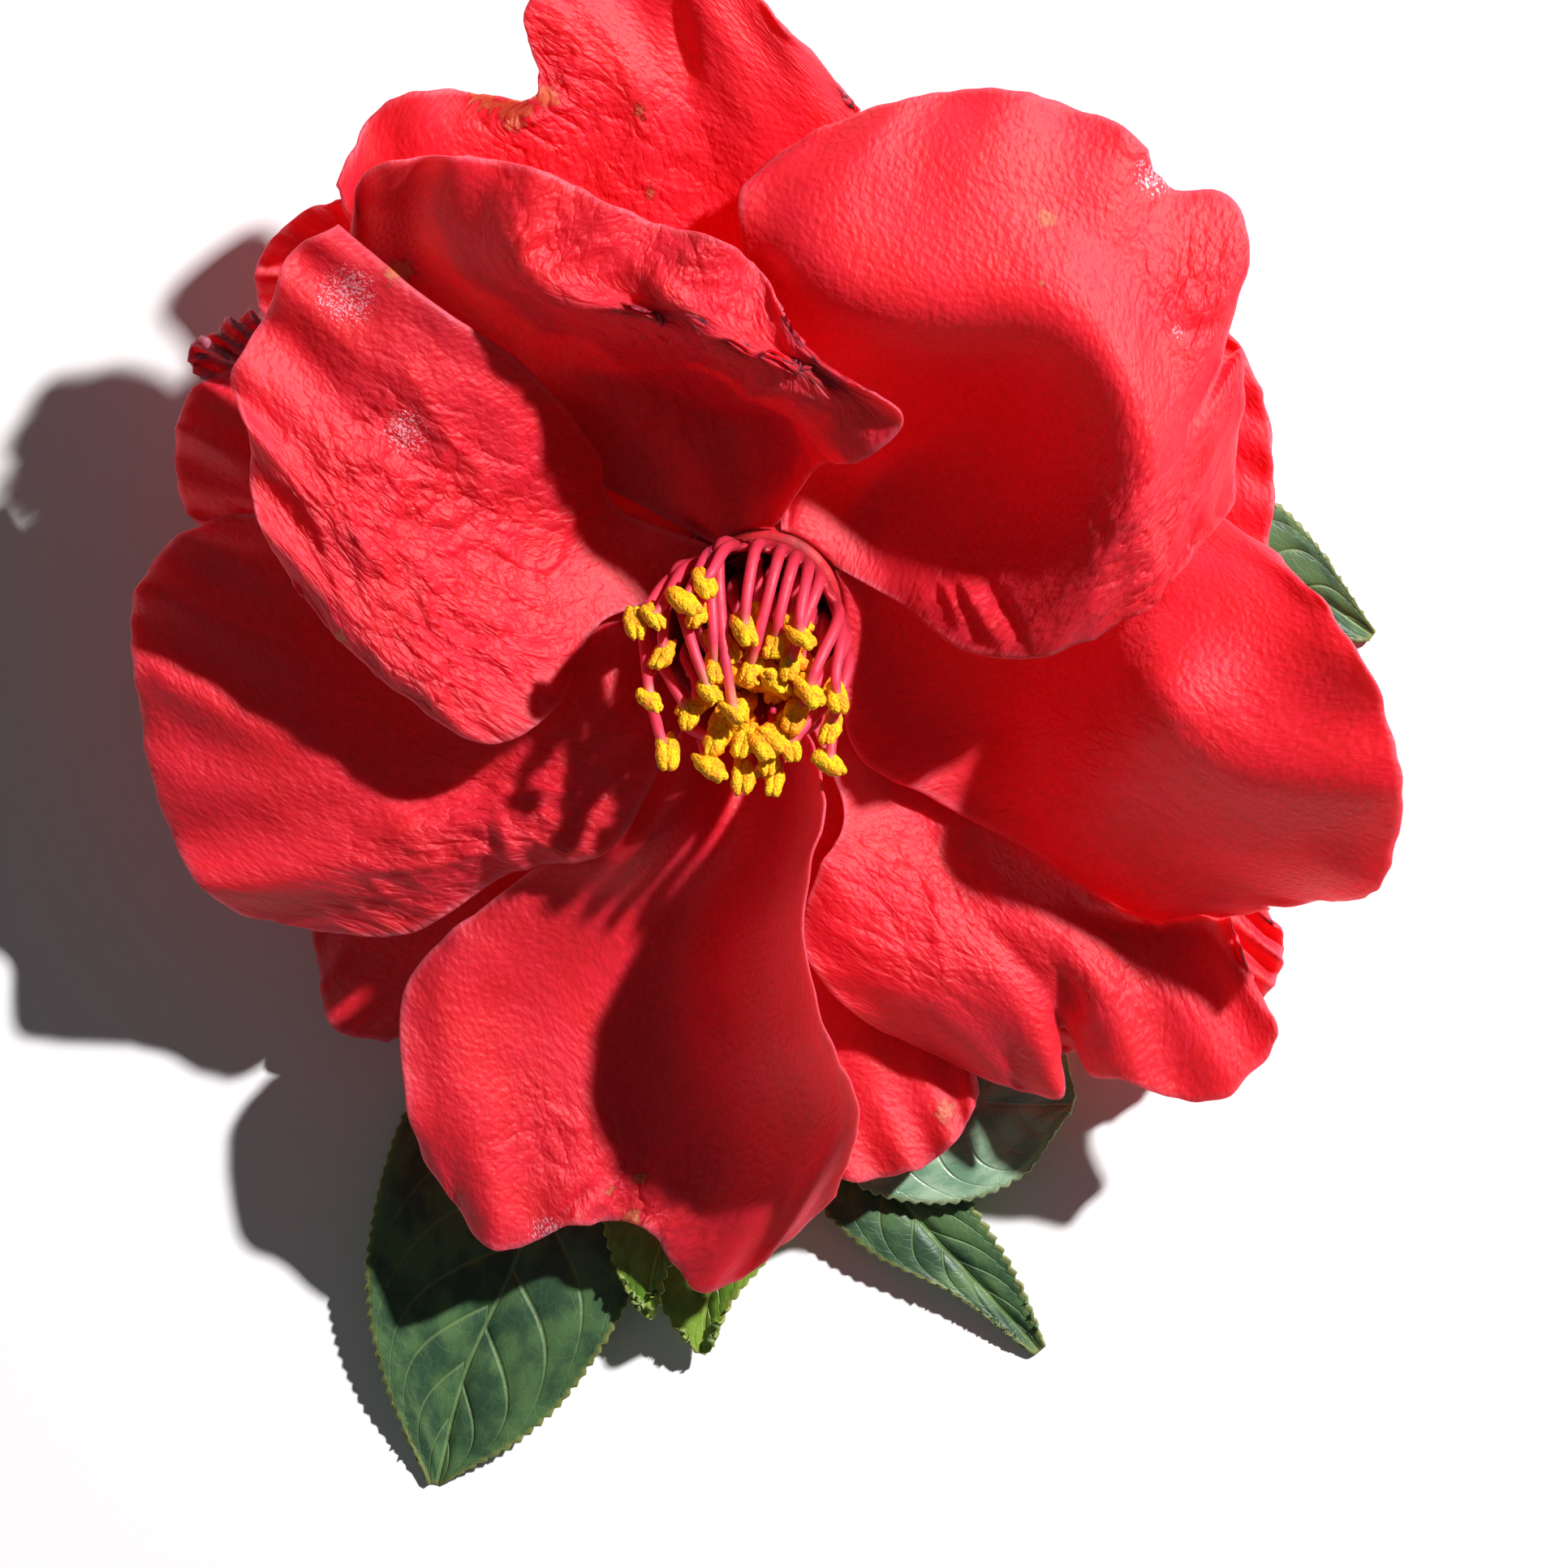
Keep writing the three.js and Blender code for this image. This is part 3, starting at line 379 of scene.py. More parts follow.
# %% [markdown]
# A blade becomes a closed shell: its upper face, a lower face one thickness behind, and a rounded rim
# between them. Blender's Solidify modifier does the same, but doing it here lets the shell thin out
# towards the margin, as a petal does, and keeps what was measured on the surface. Those measures go
# along as attributes, which the materials read: how far a point is along and across the skin, how
# near the margin is, and where the surface is bruised or crumpled.

# %% Closed shells with their measures
RIM_BULGE = 0.4  # how far the rounded rim stands out, as a share of the thickness


def add_measures(mesh, measures):
    """Gives a mesh a named attribute for each measure of its points: a number or a vector at each."""
    for key, values in measures.items():
        kind, field = ("FLOAT", "value") if values.ndim == 1 else ("FLOAT_VECTOR", "vector")
        mesh.attributes.new(key, kind, "POINT").data.foreach_set(field, values.astype(np.float32).ravel())


def place_mesh(name, mesh):
    """Puts a mesh into the scene as an object."""
    piece = bpy.data.objects.new(name, mesh)
    bpy.context.scene.collection.objects.link(piece)
    return piece


def make_object(name, points, faces, measures, material):
    """A smooth mesh object with its measures."""
    mesh = bpy.data.meshes.new(name)
    mesh.from_pydata((points * MM).tolist(), [], faces)
    mesh.shade_smooth()
    add_measures(mesh, measures)
    mesh.materials.append(material)
    return place_mesh(name, mesh)


def shell(name, top, thickness, measures, material):
    """A closed blade from its upper face. Thickness and measures are given at each of its points."""
    normals = upward_normals(top)
    bottom = top - normals * thickness[..., None]
    bottom[..., 2] = np.maximum(bottom[..., 2], 0)  # nothing reaches through the table
    index = np.arange(top.shape[0] * top.shape[1]).reshape(top.shape[:2])
    rim = np.concatenate([index[0, :-1], index[:-1, -1], index[-1, :0:-1], index[:0:-1, 0]])
    after, before, right, left = neighbours(top)
    inward = unit(after + before + right + left - 4 * top)
    middle = (top + bottom) / 2 - inward * thickness[..., None] * RIM_BULGE
    points = np.concatenate([top.reshape(-1, 3), bottom.reshape(-1, 3), middle.reshape(-1, 3)[rim]])
    count = index.size
    upper = np.stack([index[:-1, :-1], index[:-1, 1:], index[1:, 1:], index[1:, :-1]], -1).reshape(-1, 4)
    next_rim = np.roll(rim, -1)
    edge = 2 * count + np.arange(len(rim))
    next_edge = np.roll(edge, -1)
    over = np.stack([next_rim, rim, edge, next_edge], -1)
    below = np.stack([next_edge, edge, rim + count, next_rim + count], -1)
    faces = np.concatenate([upper, upper[:, ::-1] + count, over, below])
    if np.cross(top[0, 1] - top[0, 0], top[1, 0] - top[0, 0]) @ normals[0, 0] < 0:
        faces = faces[:, ::-1]
    spread = {"under": np.concatenate([np.zeros(count), np.ones(count), np.full(len(rim), 0.5)])}
    for key, values in measures.items():
        flat = values.reshape(count, -1)
        whole = np.concatenate([flat, flat, flat[rim]])
        spread[key] = whole[:, 0] if whole.shape[1] == 1 else whole
    return make_object(name, points, faces.tolist(), spread, material)


def skin_measures(top):
    """Millimetres over the skin from the middle line and from the base, and to the nearest margin."""
    along = np.linalg.norm(np.diff(top, axis=0, prepend=top[:1]), axis=-1).cumsum(0)
    across = np.linalg.norm(np.diff(top, axis=1, prepend=top[:, :1]), axis=-1).cumsum(1)
    middle = across[:, across.shape[1] // 2][:, None]
    edge = np.minimum(np.minimum(across, across[:, -1:] - across), along[-1:] - along)
    return across - middle, along, edge


# %% [markdown]
# Nothing that grew is quite even. Two helpers give the small irregularities. `hills` is smooth random
# noise with a fixed seed, and `beside` is the distance from a line drawn on the bloom as seen from
# above, for folds, grooves and tears.

# %% Unevenness
def hills(x, y, size, seed):
    """Smooth random hills and hollows between -1 and 1, about `size` apart."""
    table = np.random.default_rng(seed).uniform(-1, 1, (64, 64))
    x, y = x / size, y / size
    column, row = np.floor(x).astype(int), np.floor(y).astype(int)
    fx, fy = x - column, y - row
    fx, fy = fx * fx * (3 - 2 * fx), fy * fy * (3 - 2 * fy)
    corner = lambda a, b: table[(row + b) % 64, (column + a) % 64]
    low = corner(0, 0) * (1 - fx) + corner(1, 0) * fx
    high = corner(0, 1) * (1 - fx) + corner(1, 1) * fx
    return low * (1 - fy) + high * fy


def creases(x, y, size, seed):
    """Narrow folds between rounded swellings, 0 to 1."""
    bend = 0.6 * hills(x, y, 2.1 * size, seed + 1)
    first = 1 - np.abs(hills(x + bend * size, y, size, seed))
    second = 1 - np.abs(hills(x, y + bend * size, 0.55 * size, seed + 2))
    return 0.65 * first**3 + 0.35 * second**3


def beside(points, line):
    """Distance from points to a line of [x, y] corners, seen from above, and the place along it, 0 to 1."""
    flat = points[..., :2]
    nearest = np.full(flat.shape[:-1], 1e9)
    place = np.zeros(flat.shape[:-1])
    spans = list(zip(line[:-1], line[1:]))
    for k, (start, end) in enumerate(spans):
        start, way = np.array(start, float), np.array(end, float) - np.array(start, float)
        t = np.clip((flat - start) @ way / (way @ way), 0, 1)
        distance = np.linalg.norm(flat - start - t[..., None] * way, axis=-1)
        closer = distance < nearest
        nearest = np.where(closer, distance, nearest)
        place = np.where(closer, (k + t) / len(spans), place)
    return nearest, place

# %% [markdown]
# ## Petals
# Seven broad petals open round the stamens, and eight more lie behind them. Each row of points below
# runs across one petal, from its left margin to its right as seen from the middle of the bloom, and
# the rows go from near the claw, which holds the petal, to the tip. A petal also has pleats that grow
# from the claw, margins that roll down, a frill along the margin and notches cut into the tip.

# %% The petals' own points, upper petals first
CLAW_RING = {"inner": (6.7, 1.6), "outer": (8.3, -0.4)}  # distance from the axis, height on it
# roll: how far the left, right and tip margins bend down. frill: height, waves, phase.
# notches: place across from -1 to 1, depth as a share of the length, width.
# folds: place across, width, height.
PETALS = [
    dict(
        name="petal_inner_left", whorl="inner", angle=158, claw=23.5, roll=(1.2, 0.8, 2.4),
        frill=(0.6, 5, 0.4),
        notches=[], folds=[(-0.25, 0.16, 1.1), (0.3, 0.2, -0.9)],
        rows=[
            [(-15, -6.5, 22), (-15, -1, 20.5), (-14, 3, 20.5)],
            [(-18.7, -13.5, 26.5), (-21, -2.5, 24), (-15.5, 7.5, 23.5)],
            [(-25, -16.5, 28.5), (-29, 1, 28.5), (-21, 14, 31)],
            [(-35, -9.8, 31), (-36, 6, 32), (-29, 19.5, 35)],
            [(-40, -3.8, 33), (-43.3, 2, 34), (-44, 9, 34.5), (-45.2, 13.5, 34.5),
             (-42.2, 19, 35), (-40.3, 23.5, 35), (-36.5, 25.8, 35.5)],
        ],
    ),
    dict(
        name="petal_inner_upper_left", whorl="inner", angle=107, claw=23.5, roll=(1.5, -0.6, 3.2),
        frill=(0.7, 7, 1.3),
        notches=[], folds=[(0.35, 0.1, -1.2), (0.55, 0.1, 1), (0.8, 0.1, -1.2)],
        rows=[
            [(-13.5, 4, 18.5), (-9.5, 6.5, 19.5), (-4, 8.5, 21), (0, 8, 25), (2.5, 6, 30)],
            [(-21, 8, 20.5), (-15, 11.5, 21), (-8.5, 13, 26), (-2, 12, 34), (6, 6.2, 39)],
            [(-29, 13, 22.5), (-22.5, 16.5, 24.5), (-13, 17.5, 37), (-4, 15.5, 40), (9.5, 9.5, 42)],
            [(-36, 20, 26), (-30, 23, 27.5), (-22, 21.5, 38.5), (-11, 20, 40.5), (5, 13, 42)],
            [(-35.8, 26, 35.5), (-34, 29.8, 41), (-28, 31, 43), (-20.5, 30, 43.5),
             (-12, 26.2, 43.5), (-3.5, 23.3, 43.5), (1, 16.2, 43)],
        ],
    ),
    dict(
        name="petal_inner_upper_right", whorl="inner", angle=55, claw=23.5, roll=(2.5, 2.4, 5.5),
        frill=(0.6, 6, 0),
        notches=[(0.17, 0.05, 0.07), (0.55, 0.09, 0.05)], folds=[],
        rows=[
            [(-1, 8, 23.5), (8, 6, 20.3), (9.5, -5, 23.2)],
            [(-2.5, 16, 32), (6.5, 13.5, 29.5), (16, 10, 27.5), (18.5, 0, 28.5), (15, -9, 31)],
            [(-3.2, 23, 40), (7, 18.5, 41.3), (22, 16.5, 42.5), (28, 5.5, 41.5), (22.5, -9.3, 37)],
            [(-3.5, 28, 42), (9, 29, 43), (24, 26, 43), (33, 11.5, 41), (31, -4.5, 38.5)],
            [(-1, 31.5, 43), (7, 35, 44), (16, 36.6, 44.5), (26.5, 34, 45),
             (37, 26.8, 44), (37.6, 14.5, 42.5), (36.8, 3, 39)],
        ],
    ),
    dict(
        name="petal_inner_right", whorl="inner", angle=4, claw=23.5, roll=(1.5, 0.5, 3),
        frill=(0.7, 5, 2),
        notches=[(0.75, 0.03, 0.05)], folds=[],
        rows=[
            [(14, 2, 20.2), (14.5, -3, 19.2), (13, -8, 18), (10, -13, 17.3), (6, -17.2, 18)],
            [(21, 4, 22.5), (23, -3, 23.5), (22.5, -9, 23), (17, -15, 17.5), (12.5, -21.2, 17)],
            [(29, 4, 28), (31.5, -5, 33), (30, -13, 36.5), (25, -20.5, 24.5), (21, -26, 17.8)],
            [(36, 2, 32), (41, -8, 38.5), (37.5, -19, 36.5), (33.5, -25, 25), (29.5, -31, 17.8)],
            [(40.5, -1, 37), (44.7, -6.5, 43.5), (48.3, -13, 44.5), (50.2, -21, 42),
             (48.8, -28.3, 35), (43, -30, 24.5), (37.5, -30.9, 19.5)],
        ],
    ),
    dict(
        name="petal_inner_lower_left", whorl="inner", angle=-151, claw=23.5, roll=(1.2, 1.5, 4.5),
        frill=(0.7, 6, 0.8),
        notches=[], folds=[(-0.6, 0.15, 1.2), (-0.35, 0.12, -0.8)],
        rows=[
            [(-9.5, -17, 24.5), (-13.5, -13, 23), (-15.5, -5, 20.5)],
            [(-14.5, -25.5, 25.5), (-21, -15.5, 22.5), (-25, -4, 20)],
            [(-22.5, -27.3, 23), (-30, -16, 20.5), (-34, -1, 21)],
            [(-31, -32.3, 20), (-41, -16.5, 22), (-41, 2, 22.5)],
            [(-39, -32.4, 19.5), (-47.5, -29.5, 20.5), (-52, -21.5, 22), (-54, -11, 23),
             (-53.7, -4, 23), (-50.5, 0.5, 23), (-45.5, 2.5, 22.5)],
        ],
    ),
    dict(
        name="petal_inner_bottom", whorl="inner", angle=-99, claw=23.5, roll=(0.6, 2, 2.6),
        frill=(0.6, 6, 2.2),
        notches=[], folds=[],
        rows=[
            [(3.2, -21, 33.5), (0.5, -22, 24.5), (-4, -22.5, 20.5),
             (-9, -22.8, 25.5), (-13.5, -22.5, 24)],
            [(1.2, -30.5, 34), (-1.8, -31.5, 24), (-8, -31.5, 16),
             (-15.5, -30.5, 19.5), (-22, -28, 21)],
            [(3, -39, 31), (-1, -40.5, 21), (-9.5, -41, 13.5), (-21, -39, 16), (-31, -36, 20)],
            [(6, -47, 26), (2, -49, 18), (-9, -50, 12.5), (-21, -48.5, 14.5), (-31.5, -46, 19)],
            [(4.3, -54.5, 18), (-1.5, -60, 13.5), (-7, -62.5, 11.5), (-12, -57, 13),
             (-18, -57, 14.5), (-24.5, -58.8, 15), (-30, -51.5, 17)],
        ],
    ),
    dict(
        name="petal_inner_lower_right", whorl="inner", angle=-48, claw=23.5, roll=(0.5, 1.2, 2.2),
        frill=(0.6, 6, 3),
        notches=[(0.17, 0.13, 0.05)], folds=[(0.2, 0.1, -1.3), (-0.1, 0.14, 0.8)],
        rows=[
            [(13, -13, 13.8), (9, -18.5, 14.8), (5, -22, 17.4)],
            [(22, -19, 13.8), (15, -25, 16), (3, -27, 19)],
            [(30, -24, 14.8), (20, -31, 18), (1.5, -33, 18)],
            [(36, -29, 16.4), (25, -37, 18.6), (5, -38.5, 16.5)],
            [(38, -34.5, 19.4), (40.8, -41, 19.5), (35.5, -46.5, 17.5), (27, -44.5, 17),
             (22.5, -46.3, 15.5), (17, -44.8, 13.5), (10, -41.5, 13.5)],
        ],
    ),
    dict(
        name="petal_outer_top", whorl="outer", angle=98, claw=15, roll=(-1.5, 1.5, 1.5),
        frill=(0.6, 6, 0.5),
        notches=[], folds=[(0.28, 0.14, -1), (-0.1, 0.14, 0.7)],
        rows=[
            [(-9, 10, 22), (-4, 11, 22), (1.5, 10, 22.5)],
            [(-18, 16, 25), (-7, 20, 25.5), (5, 18, 26)],
            [(-28, 21, 28), (-10, 28, 29.4), (7, 27, 30)],
            [(-35, 25.5, 31), (-24, 31, 33), (-13, 36, 33.5), (-3, 36.5, 35), (6.5, 34, 34.2)],
            [(-36.5, 29, 33), (-33.5, 35, 34.5), (-27.5, 36.8, 35), (-20, 36.2, 35.3), (-21, 43, 36.5),
             (-15, 48.5, 37), (-6, 47, 38.4), (0.5, 41.5, 37.7), (5.5, 36, 35.7)],
        ],
    ),
    dict(
        name="petal_outer_right", whorl="outer", angle=35, claw=15, roll=(0.8, 0.8, 2),
        frill=(0.5, 5, 1.4),
        notches=[], folds=[],
        rows=[
            [(9, 7, 19), (12, 3, 18.5), (13.5, -2, 18.5)],
            [(16, 13, 21), (20, 6.5, 20.5), (21, -2, 20)],
            [(24, 17, 23.5), (28, 9, 22.5), (28, -3, 22)],
            [(31, 19.5, 26), (35, 9.5, 25), (35, -4, 24)],
            [(35.5, 19, 28), (38.8, 14, 28), (40.3, 7.5, 27.5), (40.2, 1.5, 27), (39, -4, 26)],
        ],
    ),
    dict(
        name="petal_outer_upper_left", whorl="outer", angle=140, claw=15, roll=(0.8, 0.8, 2),
        frill=(0.5, 5, 2.4),
        notches=[], folds=[(0, 0.2, 0.8)],
        rows=[
            [(-15, 3, 20), (-11, 8, 20), (-8, 10, 20.5)],
            [(-23, 7, 21.5), (-19, 13, 21.5), (-15, 16, 22)],
            [(-30, 11.5, 23), (-27, 17.5, 23), (-22, 21, 24)],
            [(-37, 15, 24.5), (-35, 21.5, 25), (-29, 25.5, 26)],
            [(-42.5, 17.5, 25.5), (-43.7, 21.5, 26), (-41.8, 25.5, 26.5),
             (-38, 27.8, 27), (-33.5, 28, 27)],
        ],
    ),
    dict(
        name="petal_outer_left", whorl="outer", angle=178, claw=15, roll=(0.8, 0.8, 2.4),
        frill=(0.5, 5, 0.2),
        notches=[], folds=[(0.1, 0.2, 0.7)],
        rows=[
            [(-14.5, -7.5, 17.5), (-14, -2.5, 17.5), (-13.5, 1.6, 18)],
            [(-23, -6, 17.5), (-24, 0.5, 18), (-22, 6, 18.5)],
            [(-32, -4.5, 17.5), (-34, 3.5, 18.5), (-31, 9.5, 19.5)],
            [(-41, -2.5, 16.5), (-43, 5.5, 19), (-40, 13, 20)],
            [(-47, 0, 15.5), (-50.3, 3.5, 17.5), (-50.6, 9, 19), (-48.8, 13, 19.5), (-45, 14.8, 19.5)],
        ],
    ),
    dict(
        name="petal_withered", whorl="outer", angle=159, claw=3.2, roll=(0.3, 0.3, 0.8),
        frill=(0.9, 7, 0.9),
        notches=[(0.3, 0.04, 0.1)], folds=[(0, 0.3, 0.9)],
        rows=[
            [(-15, 2.6, 16.4), (-15, 3.6, 16.4), (-14.5, 4.6, 16.4)],
            [(-24, 6, 15.4), (-24, 7.5, 15.4), (-23, 9, 15.4)],
            [(-33, 9, 15.4), (-33, 11.5, 15.8), (-32, 13.5, 15.4)],
            [(-42, 11.5, 15.4), (-42.5, 14, 17), (-41, 16.5, 17)],
            [(-47.5, 13.5, 15.6), (-49.3, 14.7, 18), (-49, 16.8, 18.6),
             (-46.8, 18.5, 18), (-43.5, 19.3, 17.5)],
        ],
    ),
    dict(
        name="petal_outer_lower_left", whorl="outer", angle=-130, claw=15, roll=(0.8, 0.8, 2),
        frill=(0.5, 5, 1.1),
        notches=[], folds=[],
        rows=[
            [(-9, -18, 15), (-11, -15.5, 15), (-14, -13, 15.5)],
            [(-15, -25, 13), (-18, -21, 12.5), (-22, -16, 13)],
            [(-21, -32, 11), (-25, -27.5, 11), (-29, -20.5, 11.5)],
            [(-27, -38.5, 9), (-32, -34, 9), (-36.5, -26.5, 10)],
            [(-31, -41.5, 8), (-35, -41.5, 7.8), (-38.3, -40, 7.8), (-39.2, -36, 8), (-40, -31, 9)],
        ],
    ),
    dict(
        name="petal_outer_bottom", whorl="outer", angle=-78, claw=15, roll=(0.8, 0.8, 1.6),
        frill=(0.5, 5, 1.9),
        notches=[], folds=[],
        rows=[
            [(6, -19, 15), (2, -20, 15), (-2, -20, 15)],
            [(10, -26.5, 13.5), (3, -28, 13.5), (-4.5, -28, 12.5)],
            [(13.5, -34, 11.4), (5, -36.5, 11.6), (-6, -36, 11)],
            [(16, -41, 10.3), (7, -45, 10.6), (-5, -44, 9.8)],
            [(16.4, -46, 11.5), (14.5, -49.6, 11.6), (10.5, -52.6, 11.4),
             (4, -53, 11.2), (-2, -51, 10.4)],
        ],
    ),
    dict(
        name="petal_outer_lower_right", whorl="outer", angle=-28, claw=15, roll=(0.8, 0.8, 1.5),
        frill=(0.9, 8, 0.6),
        notches=[(-0.8, 0.03, 0.08)], folds=[],
        rows=[
            [(13, -11, 16.5), (10, -15, 16), (7, -18, 15.5)],
            [(21, -15, 16), (16, -20.5, 15.5), (11, -26, 14.5)],
            [(29, -19.5, 15.5), (23, -27, 15), (14, -33, 13)],
            [(37, -25, 15), (31, -33, 14), (17, -39.5, 11.5)],
            [(40.5, -29, 14.5), (41.8, -34.5, 13.5), (39.5, -38.5, 12.5),
             (34, -42, 11.5), (23, -42.5, 10.5)],
        ],
    ),
]

# %% Shaping a petal
PETAL_STEPS = 20  # rows and columns of the solid model's petals, on which they settle
MARGIN_SHARE = 0.4  # how much of a petal its rolled margin takes


def petal_surface(petal, rows, columns):
    """A petal's upper face on an even grid, before it is settled among the others."""
    radius, height = CLAW_RING[petal["whorl"]]
    turns = (petal["claw"], 0, -petal["claw"])
    claw = [bloom_point(petal["angle"] + turn, radius, height) for turn in turns]
    places = np.linspace(0, 1, columns + 1)
    along, across = np.meshgrid(np.linspace(0, 1, rows + 1), 2 * places - 1, indexing="ij")
    reach = along.copy()
    for place, depth, width in petal["notches"]:
        reach *= 1 - depth * bell(across - place, width) * along**4
    top = loft([claw, *petal["rows"]], reach, places)
    side = np.clip((np.abs(across) - 1 + MARGIN_SHARE) / MARGIN_SHARE, 0, 1) ** 2
    side *= np.clip(along * 2.5 - 0.6, 0, 1)
    tip = np.clip((along - 1 + MARGIN_SHARE) / MARGIN_SHARE, 0, 1) ** 2
    left, right, end = petal["roll"]
    top[..., 2] -= np.where(across < 0, left, right) * side + end * tip
    for place, width, height in petal["folds"]:
        top[..., 2] += height * bell(across - place, width) * along**1.5
    height, waves, phase = petal["frill"]
    round_margin = 0.5 * across * (1 + along)
    top[..., 2] += height * np.maximum(side, tip) * np.sin(math.pi * waves * round_margin + phase)
    return top


# %% [markdown]
# What happened to this bloom in the wind and rain makes it real: bruised and torn margins, crumpled
# patches, folds. Some pale marks are painted highlights where the skin shines. Each mark is a place
# on the bloom as seen from above. The lists are short, and easy to change for another bloom.

# %% Folds, crumpled patches and blemishes
# Folds of each petal: line of (x, y) corners, half width, height (a groove is negative).
FOLDS = {
    "petal_outer_top": [
        ([(-9, 45), (-8.4, 41), (-7.6, 36)], 0.9, -0.9), ([(-15, 43), (-12, 37), (-10, 29)], 1.6, 0.5),
    ],
    "petal_inner_upper_left": [
        ([(-24, 29), (-20, 21), (-15, 17), (-10, 14)], 1.3, 0.7),
        ([(-14, 24), (-8, 19), (-3, 13), (2, 11)], 1.0, 0.8),
        ([(-6, 12), (0, 12.5), (6, 11)], 0.8, 0.6), ([(-12, 13), (-5, 10), (3, 9)], 0.8, -0.6),
    ],
    "petal_inner_left": [
        ([(-36, -7), (-29, -3), (-24, -2)], 0.9, 0.5), ([(-33, 3), (-28, 1), (-23, 2)], 1.0, -0.5),
        ([(-40, 5), (-34, 7), (-30, 4)], 1.0, 0.5), ([(-27, -14), (-24, -8), (-22, -4)], 0.8, 0.45),
        ([(-32, 16), (-29, 11), (-26, 5)], 1.0, 0.4),
    ],
    "petal_inner_upper_right": [
        ([(14, -2), (16, -5.5), (18, -9)], 0.6, 0.7), ([(16, -1.5), (18, -5.5), (20, -9.5)], 0.5, -0.6),
        ([(12.5, -2.5), (14, -5), (15, -8)], 0.5, 0.5),
        ([(36.3, 17.9), (34, 17), (31, 16.5)], 0.6, -0.7),
        ([(33, 35), (30.5, 30.5), (28, 27.5)], 0.7, -0.6), ([(28, 3), (30, -1.5), (29, -6)], 1.1, 0.7),
        ([(34, 4), (33.5, -0.5), (31.5, -4)], 0.9, -0.6),
    ],
    "petal_inner_lower_right": [
        ([(22, -34.5), (23.6, -37.5), (24.5, -40.7)], 1.1, -1.1),
        ([(12, -27), (13, -33), (13.5, -38)], 0.7, 0.3),
    ],
    "petal_inner_lower_left": [
        ([(-24, -22), (-23, -24.5), (-22, -27)], 0.9, 0.8),
        ([(-36, -19), (-31, -24), (-28, -30)], 1.6, 0.4),
    ],
    "petal_inner_bottom": [([(-20, -57.5), (-17.5, -55), (-15, -53)], 0.6, -0.6)],
}
# Crumpled patches: x, y, reach, depth of the wrinkles.
CRUMPLES = {
    "petal_inner_upper_right": [(31, -1, 8, 0.55), (16, -6, 5, 0.35), (33, 20, 5, 0.3)],
    "petal_inner_upper_left": [(-8, 17, 8, 0.5), (2, 12, 6, 0.4), (-20, 23, 7, 0.35)],
    "petal_inner_left": [(-32, 2, 10, 0.6), (-27, -9, 9, 0.6), (-24, 3, 7, 0.4)],
    "petal_inner_lower_left": [(-24, -25, 6, 0.5), (-32, -29, 6, 0.4), (-18, -20, 6, 0.3)],
    "petal_outer_top": [(-20, 37, 6, 0.6), (-12, 32, 8, 0.3)],
    "petal_inner_bottom": [(-12, -55, 6, 0.35), (-19, -50, 6, 0.25)],
    "petal_inner_lower_right": [(12, -30, 8, 0.3), (30, -34, 6, 0.3)],
    "petal_inner_right": [(30, -18, 7, 0.2)],
    "petal_withered": [(-46, 16, 6, 0.6)],
}
# Blemishes: x, y, reach, kind. Brown is where the skin died. Pale is where it was rubbed, and also
# a painted highlight where the skin shines.
BLEMISHES = {
    "petal_inner_upper_right": [
        (21.4, 25.8, 0.9, "brown"), (20.8, 20.7, 0.4, "brown"), (30, 29.5, 1.4, "pale"),
        (32, 16.8, 0.5, "pale"),
    ],
    "petal_outer_top": [
        (-19.5, 36.2, 1.1, "brown"), (-24.5, 36.5, 1.6, "brown"), (-22, 35, 1.6, "brown"),
        (-11.8, 35, 0.6, "brown"), (-11, 28.6, 0.6, "brown"),
    ],
    "petal_inner_upper_left": [(-31.5, 22.3, 1.1, "brown")],
    # The two wide pale marks on this petal are painted highlights where its skin shines.
    "petal_inner_left": [
        (-31.5, 22.3, 1.5, "brown"), (-31, 9, 1.7, "pale"), (-35.8, 20, 2.2, "pale"),
        (-36.5, -8, 0.7, "brown"),
    ],
    "petal_inner_lower_left": [(-44, 15, 0.6, "brown")],
    "petal_inner_bottom": [
        (-12, -53, 0.6, "brown"), (-14.5, -54, 0.5, "brown"), (-12.6, -56.4, 0.9, "brown"),
        (-20, -57.5, 1.2, "pale"),
    ],
    "petal_outer_lower_right": [(22, -45, 1.0, "brown")],
    "petal_outer_bottom": [(13.5, -47.5, 1.0, "brown")],
}

# %% [markdown]
# A petal is finished in three layers. Broad swellings and crumples bend the skin itself, the margin
# wanders in and out, and the blade thins towards it. All three are in the mesh, because they show in
# the outline and in the shadows. Finer grain than a third of a millimetre is left to the material.

# %% Finishing a petal's surface
SKIN_STEP = {"inner": 0.44, "outer": 0.55}  # mm between points of the finished surface
MOST_STEPS = 118  # each way, to keep a petal under 200,000 triangles
PETAL_BODY = 0.58  # thickness in the middle
PETAL_MARGIN = 0.26  # and at the margin


def petal_relief(petal, top, skin, along, edge, seed):
    """How far each point stands out of the smooth surface, and how crumpled the skin is there."""
    relief = 0.12 * hills(skin, along, 8, seed) + 0.07 * hills(skin, along, 3.2, seed + 5)
    relief += 0.03 * hills(skin, along, 1.5, seed + 3)
    wrinkled = np.zeros_like(relief)
    for x, y, reach, depth in CRUMPLES.get(petal["name"], []):
        near = bell(np.hypot(top[..., 0] - x, top[..., 1] - y), reach)
        wrinkled = np.maximum(wrinkled, near * depth / 0.5)
        relief += 0.7 * depth * near * (1.6 * creases(skin, along, 3.4, seed + 9) - 0.6)
    for line, width, height in FOLDS.get(petal["name"], []):
        distance, place = beside(top, line)
        relief += height * bell(distance, width) * np.sin(math.pi * np.clip(place, 0.08, 0.92))
    near_margin = bell(edge, 2.2)
    relief += 0.28 * near_margin * hills(skin + along, along - skin, 3.6, seed + 13)
    return relief, wrinkled


